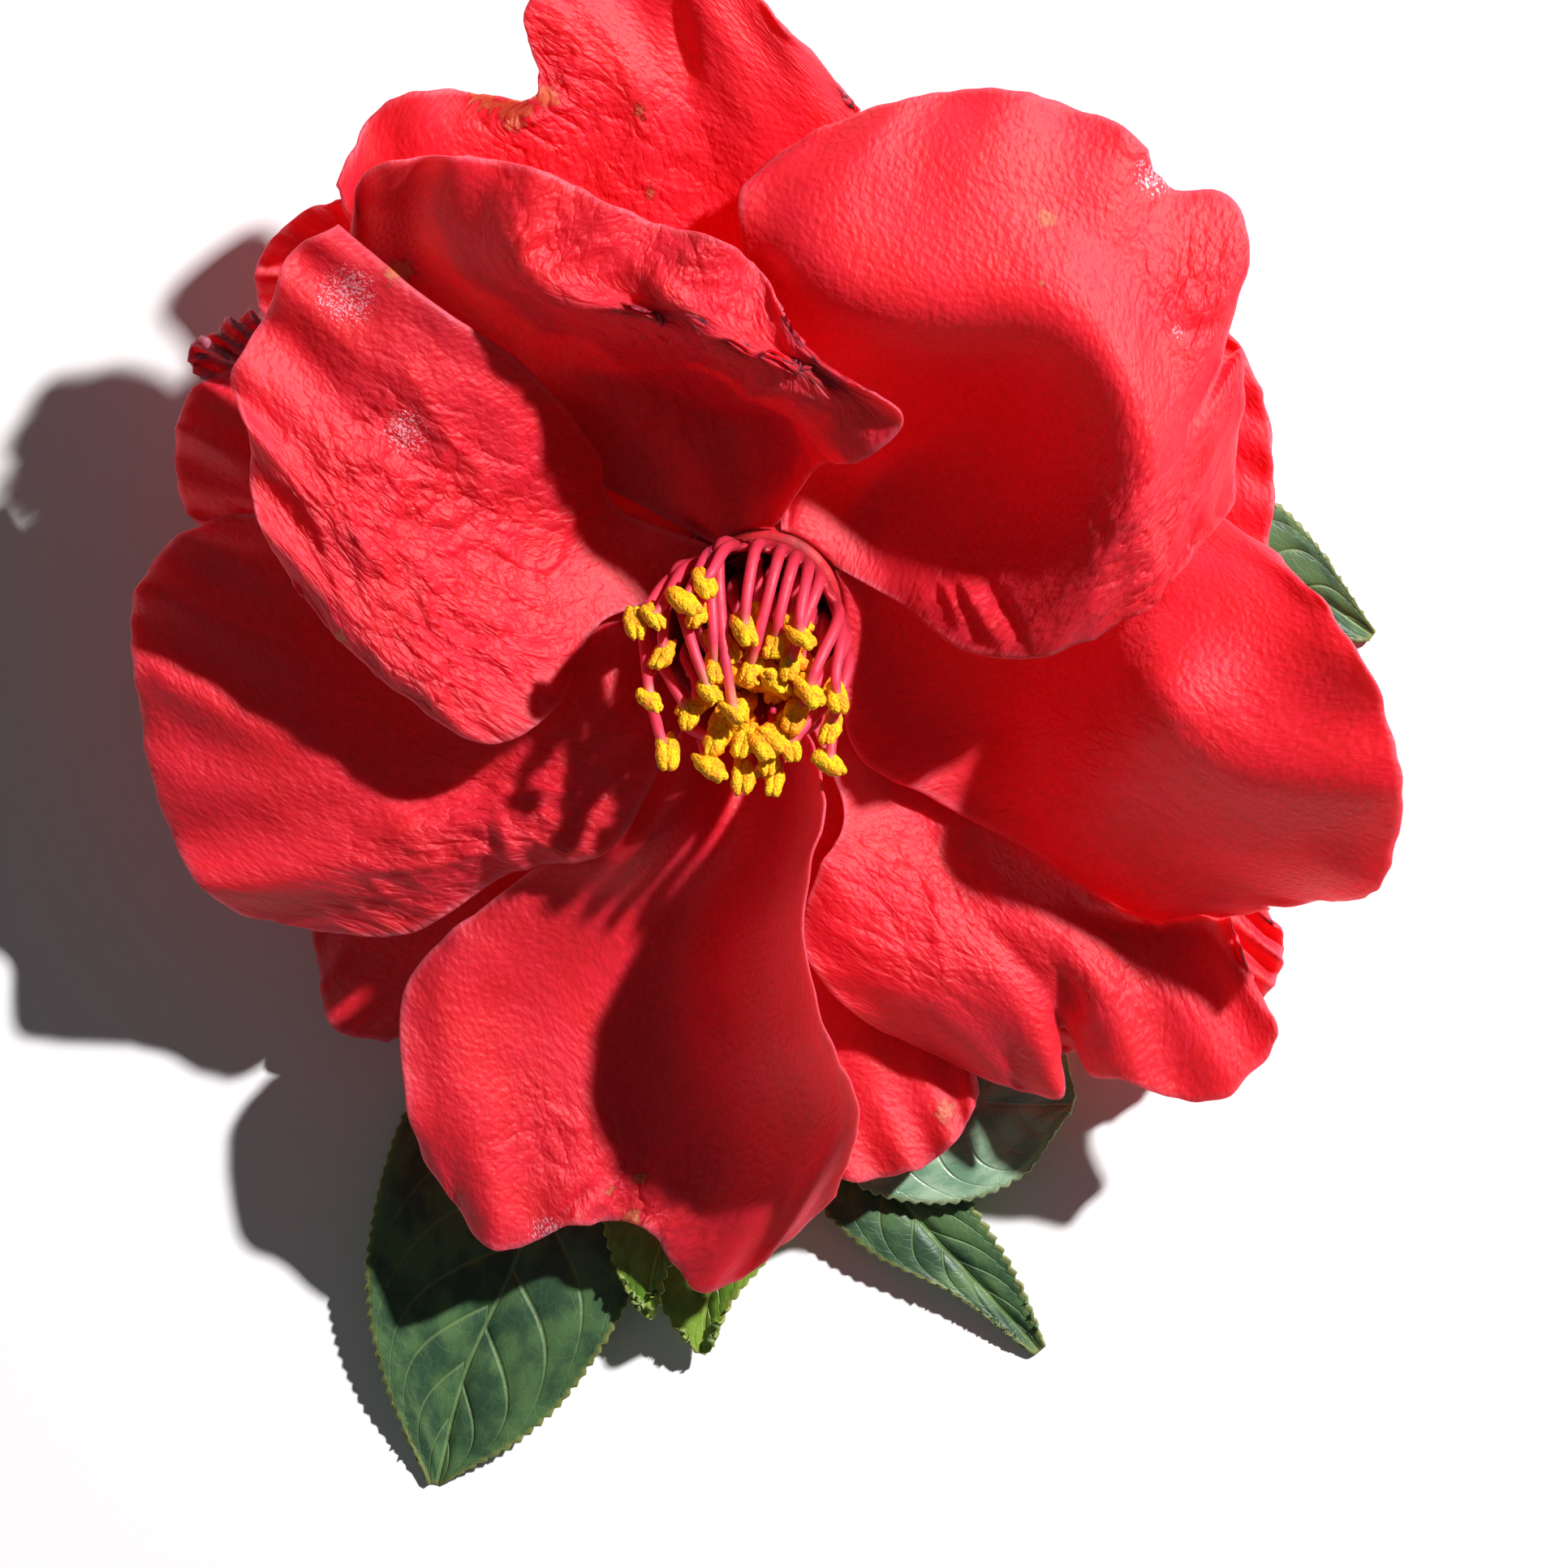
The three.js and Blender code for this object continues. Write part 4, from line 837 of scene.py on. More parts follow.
def petal_marks(petal, top):
    """Where the skin is dead and brown, and where it is pale: rubbed, and painted highlight where it shines.
    """
    marks = {"brown": np.zeros(top.shape[:2]), "pale": np.zeros(top.shape[:2])}
    for x, y, reach, kind in BLEMISHES.get(petal["name"], []):
        near = bell(np.hypot(top[..., 0] - x, top[..., 1] - y), reach)
        marks[kind] = np.maximum(marks[kind], near)
    return marks["brown"], marks["pale"]


def make_petal(petal, seed, material):
    """One petal as a closed shell, in its place among the others."""
    free = petal_surface(petal, PETAL_STEPS, PETAL_STEPS)
    settled = settle(free)
    add_to_ceiling(settled)
    skin, along, _ = skin_measures(settled)
    step = SKIN_STEP[petal["whorl"]]
    rows = int(min(MOST_STEPS, np.median(along[-1]) / step))
    columns = int(min(MOST_STEPS, np.max(skin[:, -1] - skin[:, 0]) / step))
    top = petal_surface(petal, rows, columns) + finer(settled - free, rows, columns)
    skin, along, edge = skin_measures(top)
    # The margin wanders a little in and out.
    outward = unit(top[-1:] - top[-3:-2]) * bell(along[-1:] - along, 1.6)[..., None]
    top = top + 0.22 * hills(skin, skin, 2.3, seed + 21)[..., None] * outward
    relief, wrinkled = petal_relief(petal, top, skin, along, edge, seed)
    from_claw = np.clip(along / 6, 0, 1)
    top = top + upward_normals(top) * (relief * from_claw)[..., None]
    brown, pale = petal_marks(petal, top)
    thickness = PETAL_MARGIN + (PETAL_BODY - PETAL_MARGIN) * (1 - bell(edge, 2.5))
    fan = np.broadcast_to(np.linspace(-20, 20, columns + 1), skin.shape)
    measures = {
        "skin": np.stack([skin + 7.3 * seed, along, fan + 41.7 * seed], -1),
        "marks": np.stack([brown, pale, wrinkled], -1),
        "edge": edge,
    }
    return shell(petal["name"] + "_skin", top, thickness, measures, material)

# %% [markdown]
# ### What a petal's skin looks like
# Under a lens the skin is a field of tiny rounded cells, which scatter light like velvet. Fine veins
# fan out from the claw and fork towards the margin, and short wrinkles run between them. The petal is
# so thin that light shines through it, brighter and purer red than the light it throws back. An image
# texture would show a vein only where the picture had one and would blur close up, so the pattern is
# worked out from the skin's own measures instead. It is a node group, because fresh and withered
# petals share it.

# %% Node group: petal skin
def wavy_lines(tree, fan, along, spacing, stretch, sharpness):
    """Thin lines along the petal that wander, part and meet."""
    place = flat_place(tree, calc(tree, "DIVIDE", fan, spacing), product(tree, along, stretch))
    off = calc(tree, "ABSOLUTE", calc(tree, "SUBTRACT", noise(tree, place, 1.0, 2.0), 0.5))
    return ramp(tree, off, 0.0, sharpness, 1.0, 0.0)


def crease_net(tree, over, along, size):
    """Soft pillows, long along the petal, with a sharp crooked crease between each two."""
    place = flat_place(tree, calc(tree, "DIVIDE", over, size), calc(tree, "DIVIDE", along, size * 1.8))
    bent = noise(tree, place, 1.1, 3.0, "Color")
    bent = node(tree, "ShaderNodeVectorMath", {0: bent, "Scale": 1.3}, operation="SCALE").outputs[0]
    off = voronoi(tree, vectors(tree, "ADD", place, bent), feature="DISTANCE_TO_EDGE")
    return calc(tree, "POWER", ramp(tree, off, 0.0, 0.3), 0.5)


def petal_skin_group():
    inputs = {"Skin": "Vector", "Crumple": "Float", "Vein Spacing": "Float", "Cell Size": "Float"}
    tree, given = new_group("PetalSkin", inputs, ("Veins", "Valley Shade", "Mottle", "Height"))
    parts = parts_of(tree, given["Skin"])
    over, along, fan = parts["X"], parts["Y"], parts["Z"]
    skin = flat_place(tree, over, along)

    coarse = wavy_lines(tree, fan, along, given["Vein Spacing"], 0.045, 0.045)
    fine = wavy_lines(tree, fan, along, product(tree, given["Vein Spacing"], 0.42), 0.07, 0.06)
    outer = ramp(tree, along, 10.0, 26.0)
    veins = calc(tree, "MAXIMUM", coarse, product(tree, fine, product(tree, outer, 0.7)))
    veins = product(tree, veins, ramp(tree, along, 8.0, 18.0, 0.15, 1.0))

    cell_place = vectors(tree, "DIVIDE", skin, given["Cell Size"])
    cell_bumps = calc(tree, "SUBTRACT", 1.0, voronoi(tree, cell_place, feature="SMOOTH_F1"))
    pebbles = noise(tree, cell_place, 0.8, 2.0)
    # The low places between the skin cells, which the petal material darkens as painted shade.
    valley_shade = ramp(tree, calc(tree, "MULTIPLY_ADD", pebbles, 0.7, cell_bumps), 0.75, 1.1, 1.0, 0.0)
    wide, narrow = crease_net(tree, over, along, 3.0), crease_net(tree, over, along, 1.1)
    crease_depth = calc(tree, "MULTIPLY_ADD", given["Crumple"], 1.7, 0.03)
    crease = calc(tree, "MULTIPLY_ADD", narrow, 0.35, wide)

    patchy = noise(tree, skin, 1.1, 2.0)
    mottle = calc(tree, "MULTIPLY_ADD", patchy, 0.35, product(tree, noise(tree, skin, 0.16, 3.0), 0.65))
    height = calc(tree, "MULTIPLY_ADD", pebbles, 0.6, product(tree, cell_bumps, 0.5))
    height = calc(tree, "MULTIPLY_ADD", veins, -0.06, height)
    height = calc(tree, "ADD", height, product(tree, crease, crease_depth))
    return end_group(tree, {"Veins": veins, "Valley Shade": valley_shade, "Mottle": mottle, "Height": height})


def blemish_group():
    """Frays the soft spots of the marks measure into patches with ragged rims."""
    inputs = {"Amount": "Float", "Skin": "Vector", "Grain": "Float"}
    tree, given = new_group("Blemish", inputs, ("Patch", "Rim", "Flecks"))
    ragged = calc(tree, "SUBTRACT", noise(tree, given["Skin"], given["Grain"], 3.0), 0.5)
    frayed = calc(tree, "MULTIPLY_ADD", ragged, 1.6, given["Amount"])
    # Small specks inside a mark. On the pale marks they become pale flecks, partly painted highlight.
    specks = calc(tree, "MULTIPLY_ADD", given["Amount"], 0.16, noise(tree, given["Skin"], 3.6, 2.0))
    flecks = product(tree, ramp(tree, specks, 0.62, 0.68), ramp(tree, given["Amount"], 0.1, 0.4))
    rim = calc(tree, "SUBTRACT", ramp(tree, frayed, 0.3, 0.55), ramp(tree, frayed, 0.55, 0.7), clamp=True)
    return end_group(tree, {"Patch": ramp(tree, frayed, 0.5, 0.66), "Rim": rim, "Flecks": flecks})


PETAL_SKIN = petal_skin_group()
BLEMISH = blemish_group()
print("node groups:", PETAL_SKIN.name, BLEMISH.name)

# %% Petal materials
def petal_material(name, deep, fresh, margin, vein_tint, veil, dryness):
    """Deep and fresh are the darkest and lightest of the skin, veil is the velvet shine on it."""
    material, tree, shader = new_material(name)
    place = measure(tree, "skin", "Vector")
    marks = parts_of(tree, measure(tree, "marks", "Vector"))
    given = {"Skin": place, "Crumple": marks["Z"], "Vein Spacing": 1.5, "Cell Size": 0.5}
    skin = node(tree, "ShaderNodeGroup", given, node_tree=PETAL_SKIN).outputs
    blemishes = []
    for amount, grain in ((marks["X"], 1.3), (marks["Y"], 0.9)):
        given = {"Amount": amount, "Skin": place, "Grain": grain}
        blemishes.append(node(tree, "ShaderNodeGroup", given, node_tree=BLEMISH).outputs)
    brown, pale = blemishes
    colour = blend(tree, ramp(tree, skin["Mottle"], 0.36, 0.62), deep, fresh)
    layers = [
        # Painted shade: the low places between the skin cells are darkened with vein_tint, which also
        # colours the veins.
        (product(tree, skin["Valley Shade"], 0.22), vein_tint),
        (product(tree, skin["Veins"], 0.12), vein_tint),
        (ramp(tree, measure(tree, "edge"), 0.0, 0.7, 0.5, 0.0), margin),
        # Pale marks: a deeper red patch for rubbed skin, with pale pink flecks that are partly scuffs and
        # partly painted highlights.
        (product(tree, pale["Patch"], 0.5), srgb(206, 4, 32)),
        (product(tree, pale["Flecks"], 0.75), srgb(255, 176, 190)),
        (product(tree, brown["Rim"], 0.6), srgb(130, 10, 20)),
        (product(tree, brown["Patch"], 0.9), srgb(190, 96, 56)),
    ]
    for share, tint in layers:
        colour = blend(tree, share, colour, tint)
    roughness = calc(tree, "MULTIPLY_ADD", skin["Mottle"], 0.16, 0.52 + dryness)
    roughness = calc(tree, "MULTIPLY_ADD", pale["Flecks"], -0.3, roughness)
    fixed = {"Specular IOR Level": 0.7, "Sheen Tint": veil, **silk(0.08, 0.45)}
    fixed |= glow(0.95, (1.0, 0.05, 0.05), 0.0016)
    dress(tree, shader, colour, roughness, skin["Height"], 0.00019, fixed)
    return material


FRESH = petal_material(
    "petal_fresh", srgb(240, 1, 28), srgb(250, 5, 47), srgb(250, 96, 116), srgb(196, 0, 22),
    srgb(255, 150, 170), 0.04)
WITHERED = petal_material(
    "petal_withered", srgb(190, 76, 104), srgb(230, 140, 160), srgb(150, 90, 90), srgb(150, 40, 66),
    srgb(255, 210, 210), 0.2)

# %% Making all the petals
for seed, petal in enumerate(PETALS):
    withered = petal["name"] == "petal_withered"
    blade = make_petal(petal, seed, WITHERED if withered else FRESH)
    hand_over(blade, petal["name"])

# %% [markdown]
# ## Leaves
# A camellia leaf is leathery, with a glossy dark upper side and a matt, paler underside. A strong
# midrib sinks into the upper side. Seven or eight veins leave it on each side, bend forward and loop
# into each other near the margin, and a fine net fills the fields between them. The margin has small
# teeth that point to the tip. The two halves meet at the midrib in a shallow V. The teeth and the
# quilting between the veins are modelled, because they catch the light, and the net is left to the
# material.

# %% The leaves' own points, upper leaves first
# stalk: the points of the leaf stalk, from the twig into the underside of the blade.
LEAVES = [
    dict(
        name="leaf_curled", stalk=[(1.3, -29, 2.7), (2.5, -32.5, 4.1), (6.3, -39, 4.6)],
        rows=[
            [(4.2, -35, 4.9), (3.8, -35.5, 4.9), (3.4, -36, 4.9)],
            [(9, -33.5, 5.8), (7, -39.5, 5), (2.8, -44.5, 5)],
            [(14.5, -34, 6.2), (11.5, -44, 5.3), (5.5, -53, 4.8)],
            [(19, -36.5, 6.2), (16, -46.5, 5.4), (13, -55.3, 4.4)],
            [(22.8, -40.5, 6.2), (20, -47, 5.6), (20, -53, 4.8)],
            [(24.5, -46.4, 6), (24.2, -47, 6), (23.8, -47.6, 6)],
        ],
    ),
    dict(
        name="leaf_shoot_left", stalk=[(-1.7, -37.5, 3.7), (-2.6, -40.5, 4.5), (-5, -46.5, 5.1)],
        rows=[
            [(-3.2, -43, 5), (-3.8, -43, 5), (-4.4, -43, 5)],
            [(-3.4, -47, 5.6), (-5.4, -47, 5.4), (-8.5, -47, 5.6)],
            [(-4.8, -51.5, 6), (-7.2, -51.5, 5.8), (-12, -51, 6)],
            [(-7, -56, 6.4), (-9.2, -56, 6.2), (-15, -55.5, 6.4)],
            [(-9.8, -60.7, 6.2), (-11, -60.7, 6.1), (-14.2, -60.3, 6.2)],
            [(-11, -65, 5.4), (-11.4, -65.1, 5.4), (-11.8, -65, 5.4)],
        ],
    ),
    dict(
        name="leaf_shoot_right", stalk=[(-2.1, -44.7, 1.9), (-2.2, -46.5, 2.7), (-2.6, -49.5, 3.4)],
        rows=[
            [(-1.6, -47, 3.6), (-2.2, -47, 3.6), (-2.8, -47, 3.6)],
            [(-0.4, -50, 4), (-2.8, -50.5, 3.7), (-5.2, -50, 4)],
            [(0, -54.5, 4.2), (-3.7, -55, 3.6), (-7.6, -54, 4.2)],
            [(-1.2, -59.5, 4), (-5, -59.8, 3.5), (-9.8, -59, 4)],
            [(-4.6, -63.8, 3.6), (-6.6, -64, 3.2), (-10.4, -63.6, 3.6)],
            [(-6.4, -68, 2.6), (-6.8, -68.2, 2.6), (-7.4, -68, 2.6)],
        ],
    ),
    dict(
        name="leaf_lower_right", stalk=[(0.6, -37, 1.9), (1.6, -40, 2.6), (4.5, -47.5, 3)],
        rows=[
            [(3.2, -42.6, 3.3), (2.7, -43, 3.3), (2.2, -43.4, 3.3)],
            [(8, -45, 3.6), (4.8, -48, 3.1), (1.4, -49.5, 3.4)],
            [(12, -49.5, 3.5), (8, -52.5, 3), (2.2, -54.5, 3.3)],
            [(15.8, -55.5, 3.2), (12, -57.6, 2.6), (7.5, -59.6, 3)],
            [(19.4, -61.3, 2.2), (16.8, -62.7, 1.8), (14.2, -63, 2.2)],
            [(22, -67.6, 0.75), (21.6, -68, 0.65), (21.1, -68.2, 0.75)],
        ],
    ),
    dict(
        name="leaf_lower_left", stalk=[(-3.2, -25, 2.3), (-5, -28, 3.4), (-11.5, -38, 3.9)],
        rows=[
            [(-7, -31.5, 4.4), (-7.6, -31.2, 4.4), (-8.3, -31, 4.4)],
            [(-7.5, -42, 4.6), (-13.5, -40, 4), (-22, -38, 4.7)],
            [(-10, -53, 4.4), (-18.5, -50, 3.4), (-31, -46, 4.4)],
            [(-13.2, -63.5, 3.9), (-23, -61, 2.8), (-35, -59, 4)],
            [(-20, -73.4, 2.4), (-27, -70, 1.7), (-34, -69.5, 2.6)],
            [(-28.8, -79.2, 0.75), (-29.4, -79.3, 0.65), (-30, -79.2, 0.75)],
        ],
    ),
    dict(
        name="leaf_right", stalk=[(2.7, -2, 2.9), (6, -1.8, 4), (13, -1.5, 4.6)],
        rows=[
            [(8, -1.2, 4.9), (8, -1.9, 4.9), (8, -2.6, 4.9)],
            [(15, 4.5, 5.8), (15.5, -1.5, 5.1), (15, -7, 5.5)],
            [(24, 7.5, 6), (24.5, -1, 5), (24, -10, 5.6)],
            [(33.5, 7, 5.5), (34, -1.5, 4.4), (34.5, -11, 5)],
            [(42.5, 2.9, 3.4), (43, -3.2, 2.4), (43, -8.5, 3)],
            [(50, -7, 0.75), (49.8, -7.4, 0.65), (49.5, -7.8, 0.75)],
        ],
    ),
]

# %% Shaping a leaf
LEAF_STEPS = 24  # rows of the solid model's leaves, on which they settle
LEAF_ROWS, LEAF_COLUMNS = 190, 40
TOOTH_SPACING = 1.15
TOOTH_HEIGHT = 0.34
TOOTH_FLANK = 0.72  # how much of a tooth is its long side
VEIN_SPANS = 8 * 1.18  # spans between side veins in a leaf's length
LEAF_BODY = 0.5  # thickness in the middle
LEAF_MARGIN = 0.26  # and at the margin
STALK_RADII = (0.9, 0.85, 0.5)


def vein_number(along_share, across, side_shift):
    """A whole number on a side vein, a half between two: veins run outwards and forwards, and loop."""
    out = np.abs(across)
    forward = 0.17 * out + 0.16 * out**5
    return (along_share - forward) * VEIN_SPANS + 0.35 + side_shift * (across > 0)


def tube(points, radii, sides, rings):
    """A closed round rod through points: its corners and faces."""
    centre = smooth_shares(len(points), np.linspace(0, 1, rings)) @ np.array(points, float)
    radius = smooth_shares(len(radii), np.linspace(0, 1, rings)) @ np.array(radii, float)
    way = unit(np.gradient(centre, axis=0))
    sideways = unit(np.cross(way, np.array([0.0, 0.0, 1.0]) + 0.01))
    upwards = np.cross(sideways, way)
    turn = np.linspace(0, 2 * math.pi, sides, endpoint=False)[None, :, None]
    ring = np.cos(turn) * sideways[:, None] + np.sin(turn) * upwards[:, None]
    wall = centre[:, None] + radius[:, None, None] * ring
    corners = np.concatenate([wall.reshape(-1, 3), centre[:1], centre[-1:]])
    faces = []
    for k in range(rings - 1):
        for j in range(sides):
            a, b = k * sides + j, k * sides + (j + 1) % sides
            faces.append((a, a + sides, b + sides, b))
    first, last = rings * sides, rings * sides + 1
    for j in range(sides):
        faces.append((first, j, (j + 1) % sides))
        faces.append((last, (rings - 1) * sides + (j + 1) % sides, (rings - 1) * sides + j))
    return corners, faces


def leaf_surface(leaf, rows, columns):
    """A leaf's upper face and its measures, settled like the solid and then made finer."""
    steps = np.linspace(0, 1, LEAF_STEPS + 1)
    along = np.repeat(steps[:, None], 3, axis=1)
    rough = settle(loft(leaf["rows"], along, np.linspace(0, 1, 3)))
    add_to_ceiling(rough)
    ribs = smooth_shares(LEAF_STEPS + 1, np.linspace(0, 1, rows + 1))
    left, middle, right = (ribs @ rough[:, k] for k in range(3))
    across = np.linspace(-1, 1, columns + 1)[None, :, None]
    half = np.where(across < 0, left[:, None], right[:, None])
    return middle[:, None] + np.abs(across) * (half - middle[:, None]), across[0, :, 0]


def make_leaf(leaf, seed, material):
    """One leaf's blade as a closed shell, with its teeth, its sunk veins and the quilting between."""
    top, across = leaf_surface(leaf, LEAF_ROWS, LEAF_COLUMNS)
    skin, along, edge = skin_measures(top)
    share = np.linspace(0, 1, LEAF_ROWS + 1)[:, None]
    # Teeth point forwards: each rises slowly and ends steeply.
    beat = (along / TOOTH_SPACING + 0.15 * seed) % 1
    tooth = np.where(beat < TOOTH_FLANK, beat / TOOTH_FLANK, (1 - beat) / (1 - TOOTH_FLANK)) - 0.35
    grown = np.clip((share - 0.06) * 9, 0, 1) * np.clip((0.985 - share) * 20, 0, 1)
    outward = unit(top[:, [0, -1]] - top[:, [LEAF_COLUMNS // 2]])
    push = TOOTH_HEIGHT * tooth * grown * bell(edge, 0.8)
    top = top + np.where(across[None, :, None] < 0, outward[:, :1], outward[:, 1:]) * push[..., None]
    number = vein_number(share, across[None], 0.45) + 0.12 * hills(skin, along, 9, seed)
    width = np.abs(skin[:, [0, -1]]).mean(1)[:, None]
    beyond = np.abs(number - np.round(number)) * (along[-1:] / VEIN_SPANS)
    inner = np.clip(1.1 - np.abs(across[None]) ** 3, 0, 1) * np.clip(width / 6, 0, 1)
    relief = -0.12 * bell(beyond, 0.5) * inner + 0.06 * (1 - bell(beyond, 1.4)) * inner
    relief += -0.34 * bell(skin, 0.55) + 0.14 * hills(skin, along, 6, seed + 3)
    relief += 0.3 * bell(edge, 2.5) * hills(along, skin, 7, seed + 4)
    top = top + upward_normals(top) * relief[..., None]
    midrib = 0.75 * (1.15 - share) * bell(skin, 0.7)
    thickness = LEAF_MARGIN + (LEAF_BODY - LEAF_MARGIN) * (1 - bell(edge, 0.8)) + midrib
    measures = {
        "skin": np.stack([skin + 31.7 * seed, along, skin], -1),
        "veins": np.stack(
            [number, along / np.maximum(1, along[-1:]), np.broadcast_to(across, skin.shape)], -1),
        "edge": edge,
    }
    return shell(leaf["name"] + "_blade", top, thickness, measures, material)


# %% [markdown]
# The veins are pale lines on the dark skin of a leaf. They could be drawn from the mesh, but their
# edges would be ragged. So each point carries the number of the vein it is near, which is whole on a
# vein, and the material turns that into a crisp line at any distance. The net is a Voronoi pattern
# with its walls bent by noise.

# %% Node group: leaf veins
def leaf_vein_group():
    """Puts out the midrib and side veins, the fine net, and a height for both."""
    inputs = {"Veins": "Vector", "Skin": "Vector", "Vein Width": "Float", "Net Size": "Float"}
    tree, given = new_group("LeafVeins", inputs, ("Main", "Net", "Height"))
    number, skin = parts_of(tree, given["Veins"]), parts_of(tree, given["Skin"])
    off = calc(tree, "PINGPONG", number["X"], 0.5)
    fade = ramp(tree, calc(tree, "ABSOLUTE", number["Z"]), 0.55, 0.98, 1.0, 0.25)
    side = product(tree, ramp(tree, off, 0.0, given["Vein Width"], 1.0, 0.0), fade)
    rib_width = calc(tree, "MULTIPLY_ADD", number["Y"], -0.28, 0.46)
    rib = ramp(tree, calc(tree, "DIVIDE", calc(tree, "ABSOLUTE", skin["Z"]), rib_width), 0.35, 1.0, 1.0, 0.0)
    main = calc(tree, "MAXIMUM", rib, side)
    place = vectors(tree, "DIVIDE", given["Skin"], given["Net Size"])
    place = vectors(tree, "ADD", place, noise(tree, place, 0.8, 1.0, "Color"))
    net = ramp(tree, voronoi(tree, place, feature="DISTANCE_TO_EDGE"), 0.0, 0.09, 1.0, 0.0)
    height = calc(tree, "MULTIPLY_ADD", main, -0.6, product(tree, net, -0.08))
    return end_group(tree, {"Main": main, "Net": net, "Height": height})


LEAF_VEINS = leaf_vein_group()

# %% Leaf material
def leaf_material(name, dark, light, vein_tint, underside, roughness):
    material, tree, shader = new_material(name)
    place, under = measure(tree, "skin", "Vector"), measure(tree, "under")
    given = {"Veins": measure(tree, "veins", "Vector"), "Skin": place, "Vein Width": 0.075, "Net Size": 1.5}
    veins = node(tree, "ShaderNodeGroup", given, node_tree=LEAF_VEINS).outputs
    patchy = noise(tree, place, 0.22, 4.0)
    colour = blend(tree, ramp(tree, patchy, 0.38, 0.62), dark, light)
    colour = blend(tree, product(tree, veins["Net"], 0.05), colour, vein_tint)
    colour = blend(tree, product(tree, veins["Main"], 0.4), colour, vein_tint)
    colour = blend(tree, ramp(tree, measure(tree, "edge"), 0.0, 0.5, 0.5, 0.0), colour, srgb(150, 140, 70))
    colour = blend(tree, ramp(tree, under, 0.6, 0.9), colour, underside)
    roughness = calc(tree, "MULTIPLY_ADD", patchy, 0.2, roughness)
    roughness = calc(tree, "MULTIPLY_ADD", under, 0.25, roughness)
    fixed = {"Specular IOR Level": 0.5, **glow(0.15, (0.4, 1.0, 0.1), 0.0012)}
    dress(tree, shader, colour, roughness, veins["Height"], 0.00015, fixed)
    return material


LEAF = leaf_material(
    "leaf_matt", srgb(44, 76, 52), srgb(80, 114, 68), srgb(140, 168, 104), srgb(104, 132, 84), 0.38)
# The curled leaf: its own green lightened to a pale bluish green, which is painted reflection of the sky on
# its gloss.
LEAF_PAINTED_REFLECTION = leaf_material(
    "leaf_painted_reflection", srgb(118, 158, 128), srgb(164, 196, 164), srgb(200, 220, 190), srgb(120, 144, 100), 0.24)
LEAF_YOUNG = leaf_material(
    "leaf_young", srgb(86, 124, 34), srgb(128, 160, 56), srgb(176, 198, 96), srgb(130, 156, 80), 0.34)
LEAF_KINDS = {"leaf_curled": LEAF_PAINTED_REFLECTION, "leaf_shoot_left": LEAF_YOUNG, "leaf_shoot_right": LEAF_YOUNG}

# %% Making the leaves
for seed, leaf in enumerate(LEAVES):
    hand_over(make_leaf(leaf, seed, LEAF_KINDS.get(leaf["name"], LEAF)), leaf["name"])

# %% [markdown]
# ## Leaf stalks
# Each leaf hangs on a short round stalk that runs on into its midrib. A rod through three points is
# enough, and a named profile of radii lets it swell where it meets the twig.

# %% Stalk material and stalks
def stalk_material():
    material, tree, shader = new_material("leaf_stalk")
    grain = noise(tree, node(tree, "ShaderNodeTexCoord").outputs["Object"], 900.0, 3.0)
    colour = blend(tree, ramp(tree, grain, 0.35, 0.65), srgb(96, 120, 62), srgb(134, 142, 84))
    dress(tree, shader, colour, ramp(tree, grain, 0.3, 0.7, 0.4, 0.55), grain, 0.0001, {}, 0.6)
    return material


STALK = stalk_material()
for leaf in LEAVES:
    corners, faces = tube(leaf["stalk"], STALK_RADII, 20, 40)
    hand_over(make_object(leaf["name"] + "_stalk", corners, faces, {}, STALK), leaf["name"])

# %% [markdown]
# ## Stamens
# A camellia's many stamens grow together at their feet into a fleshy tube. Their free threads, the
# filaments, rise from its rim and bow inwards, and each carries a two-lobed anther that is thick with
# pollen. Something that repeats along curves is work for Geometry Nodes: one tree turns plain lines
# into tapering threads, and another puts an anther on each tip and roughens them all, so that no two
# are alike. The script only says where each thread runs.

# %% Where the stamens run
FAN_MIDDLE = (-4.0, -14.5)  # the threads fan out from here, seen from above
TUBE_FOOT, TUBE_MOUTH, TUBE_WALL, TUBE_HEIGHT = 5.9, 6.9, 1.1, 7.0
ANTHERS = [  # the outer anthers, on X and Y
    (-12.2, -6.9), (-10.7, -6.4), (-9.9, -9.4), (-10.9, -13.2), (-9.6, -17.3), (-7.7, -14.3), (-8.2, -5.1),
    (-7.1, -6.1), (-6.5, -3.6), (-3.2, -7.4), (-0.6, -8.4), (1.3, -7.9), (0.5, -10.4), (-5.6, -10.4),
    (-6.1, -12.4), (-2.7, -10.6), (2, -12.4), (4.4, -12.9), (3.8, -15.5), (3.7, -18.3), (1, -14.3),
    (0.5, -16.9), (-1.9, -16.8), (-5.4, -16.3), (-6, -18.6), (-3.4, -19.4), (-0.8, -19.6), (-4.1, -14.1),
]
INNER_STAMENS = 40
THREAD_POINTS = 16
WANDER = 0.35  # how far a thread strays halfway along
chance = np.random.default_rng(11)


def outer_path(x, y, k):
    """A thread that rises from the tube's rim, bows out over its shoulder and comes in to its anther."""
    tip = np.array([x, y, 36.8 + 0.17 * y + 0.8 * math.sin(2.4 * k)])
    degrees = math.degrees(math.atan2(y - FAN_MIDDLE[1], x - FAN_MIDDLE[0]))
    root = bloom_point(degrees, TUBE_MOUTH - 0.5 * TUBE_WALL, TUBE_HEIGHT - 1.2)
    shoulder = bloom_point(degrees, 8.3, 13.2)
    return [root, shoulder, shoulder * 0.45 + tip * 0.55 + 1.2 * BLOOM_AXIS, tip]


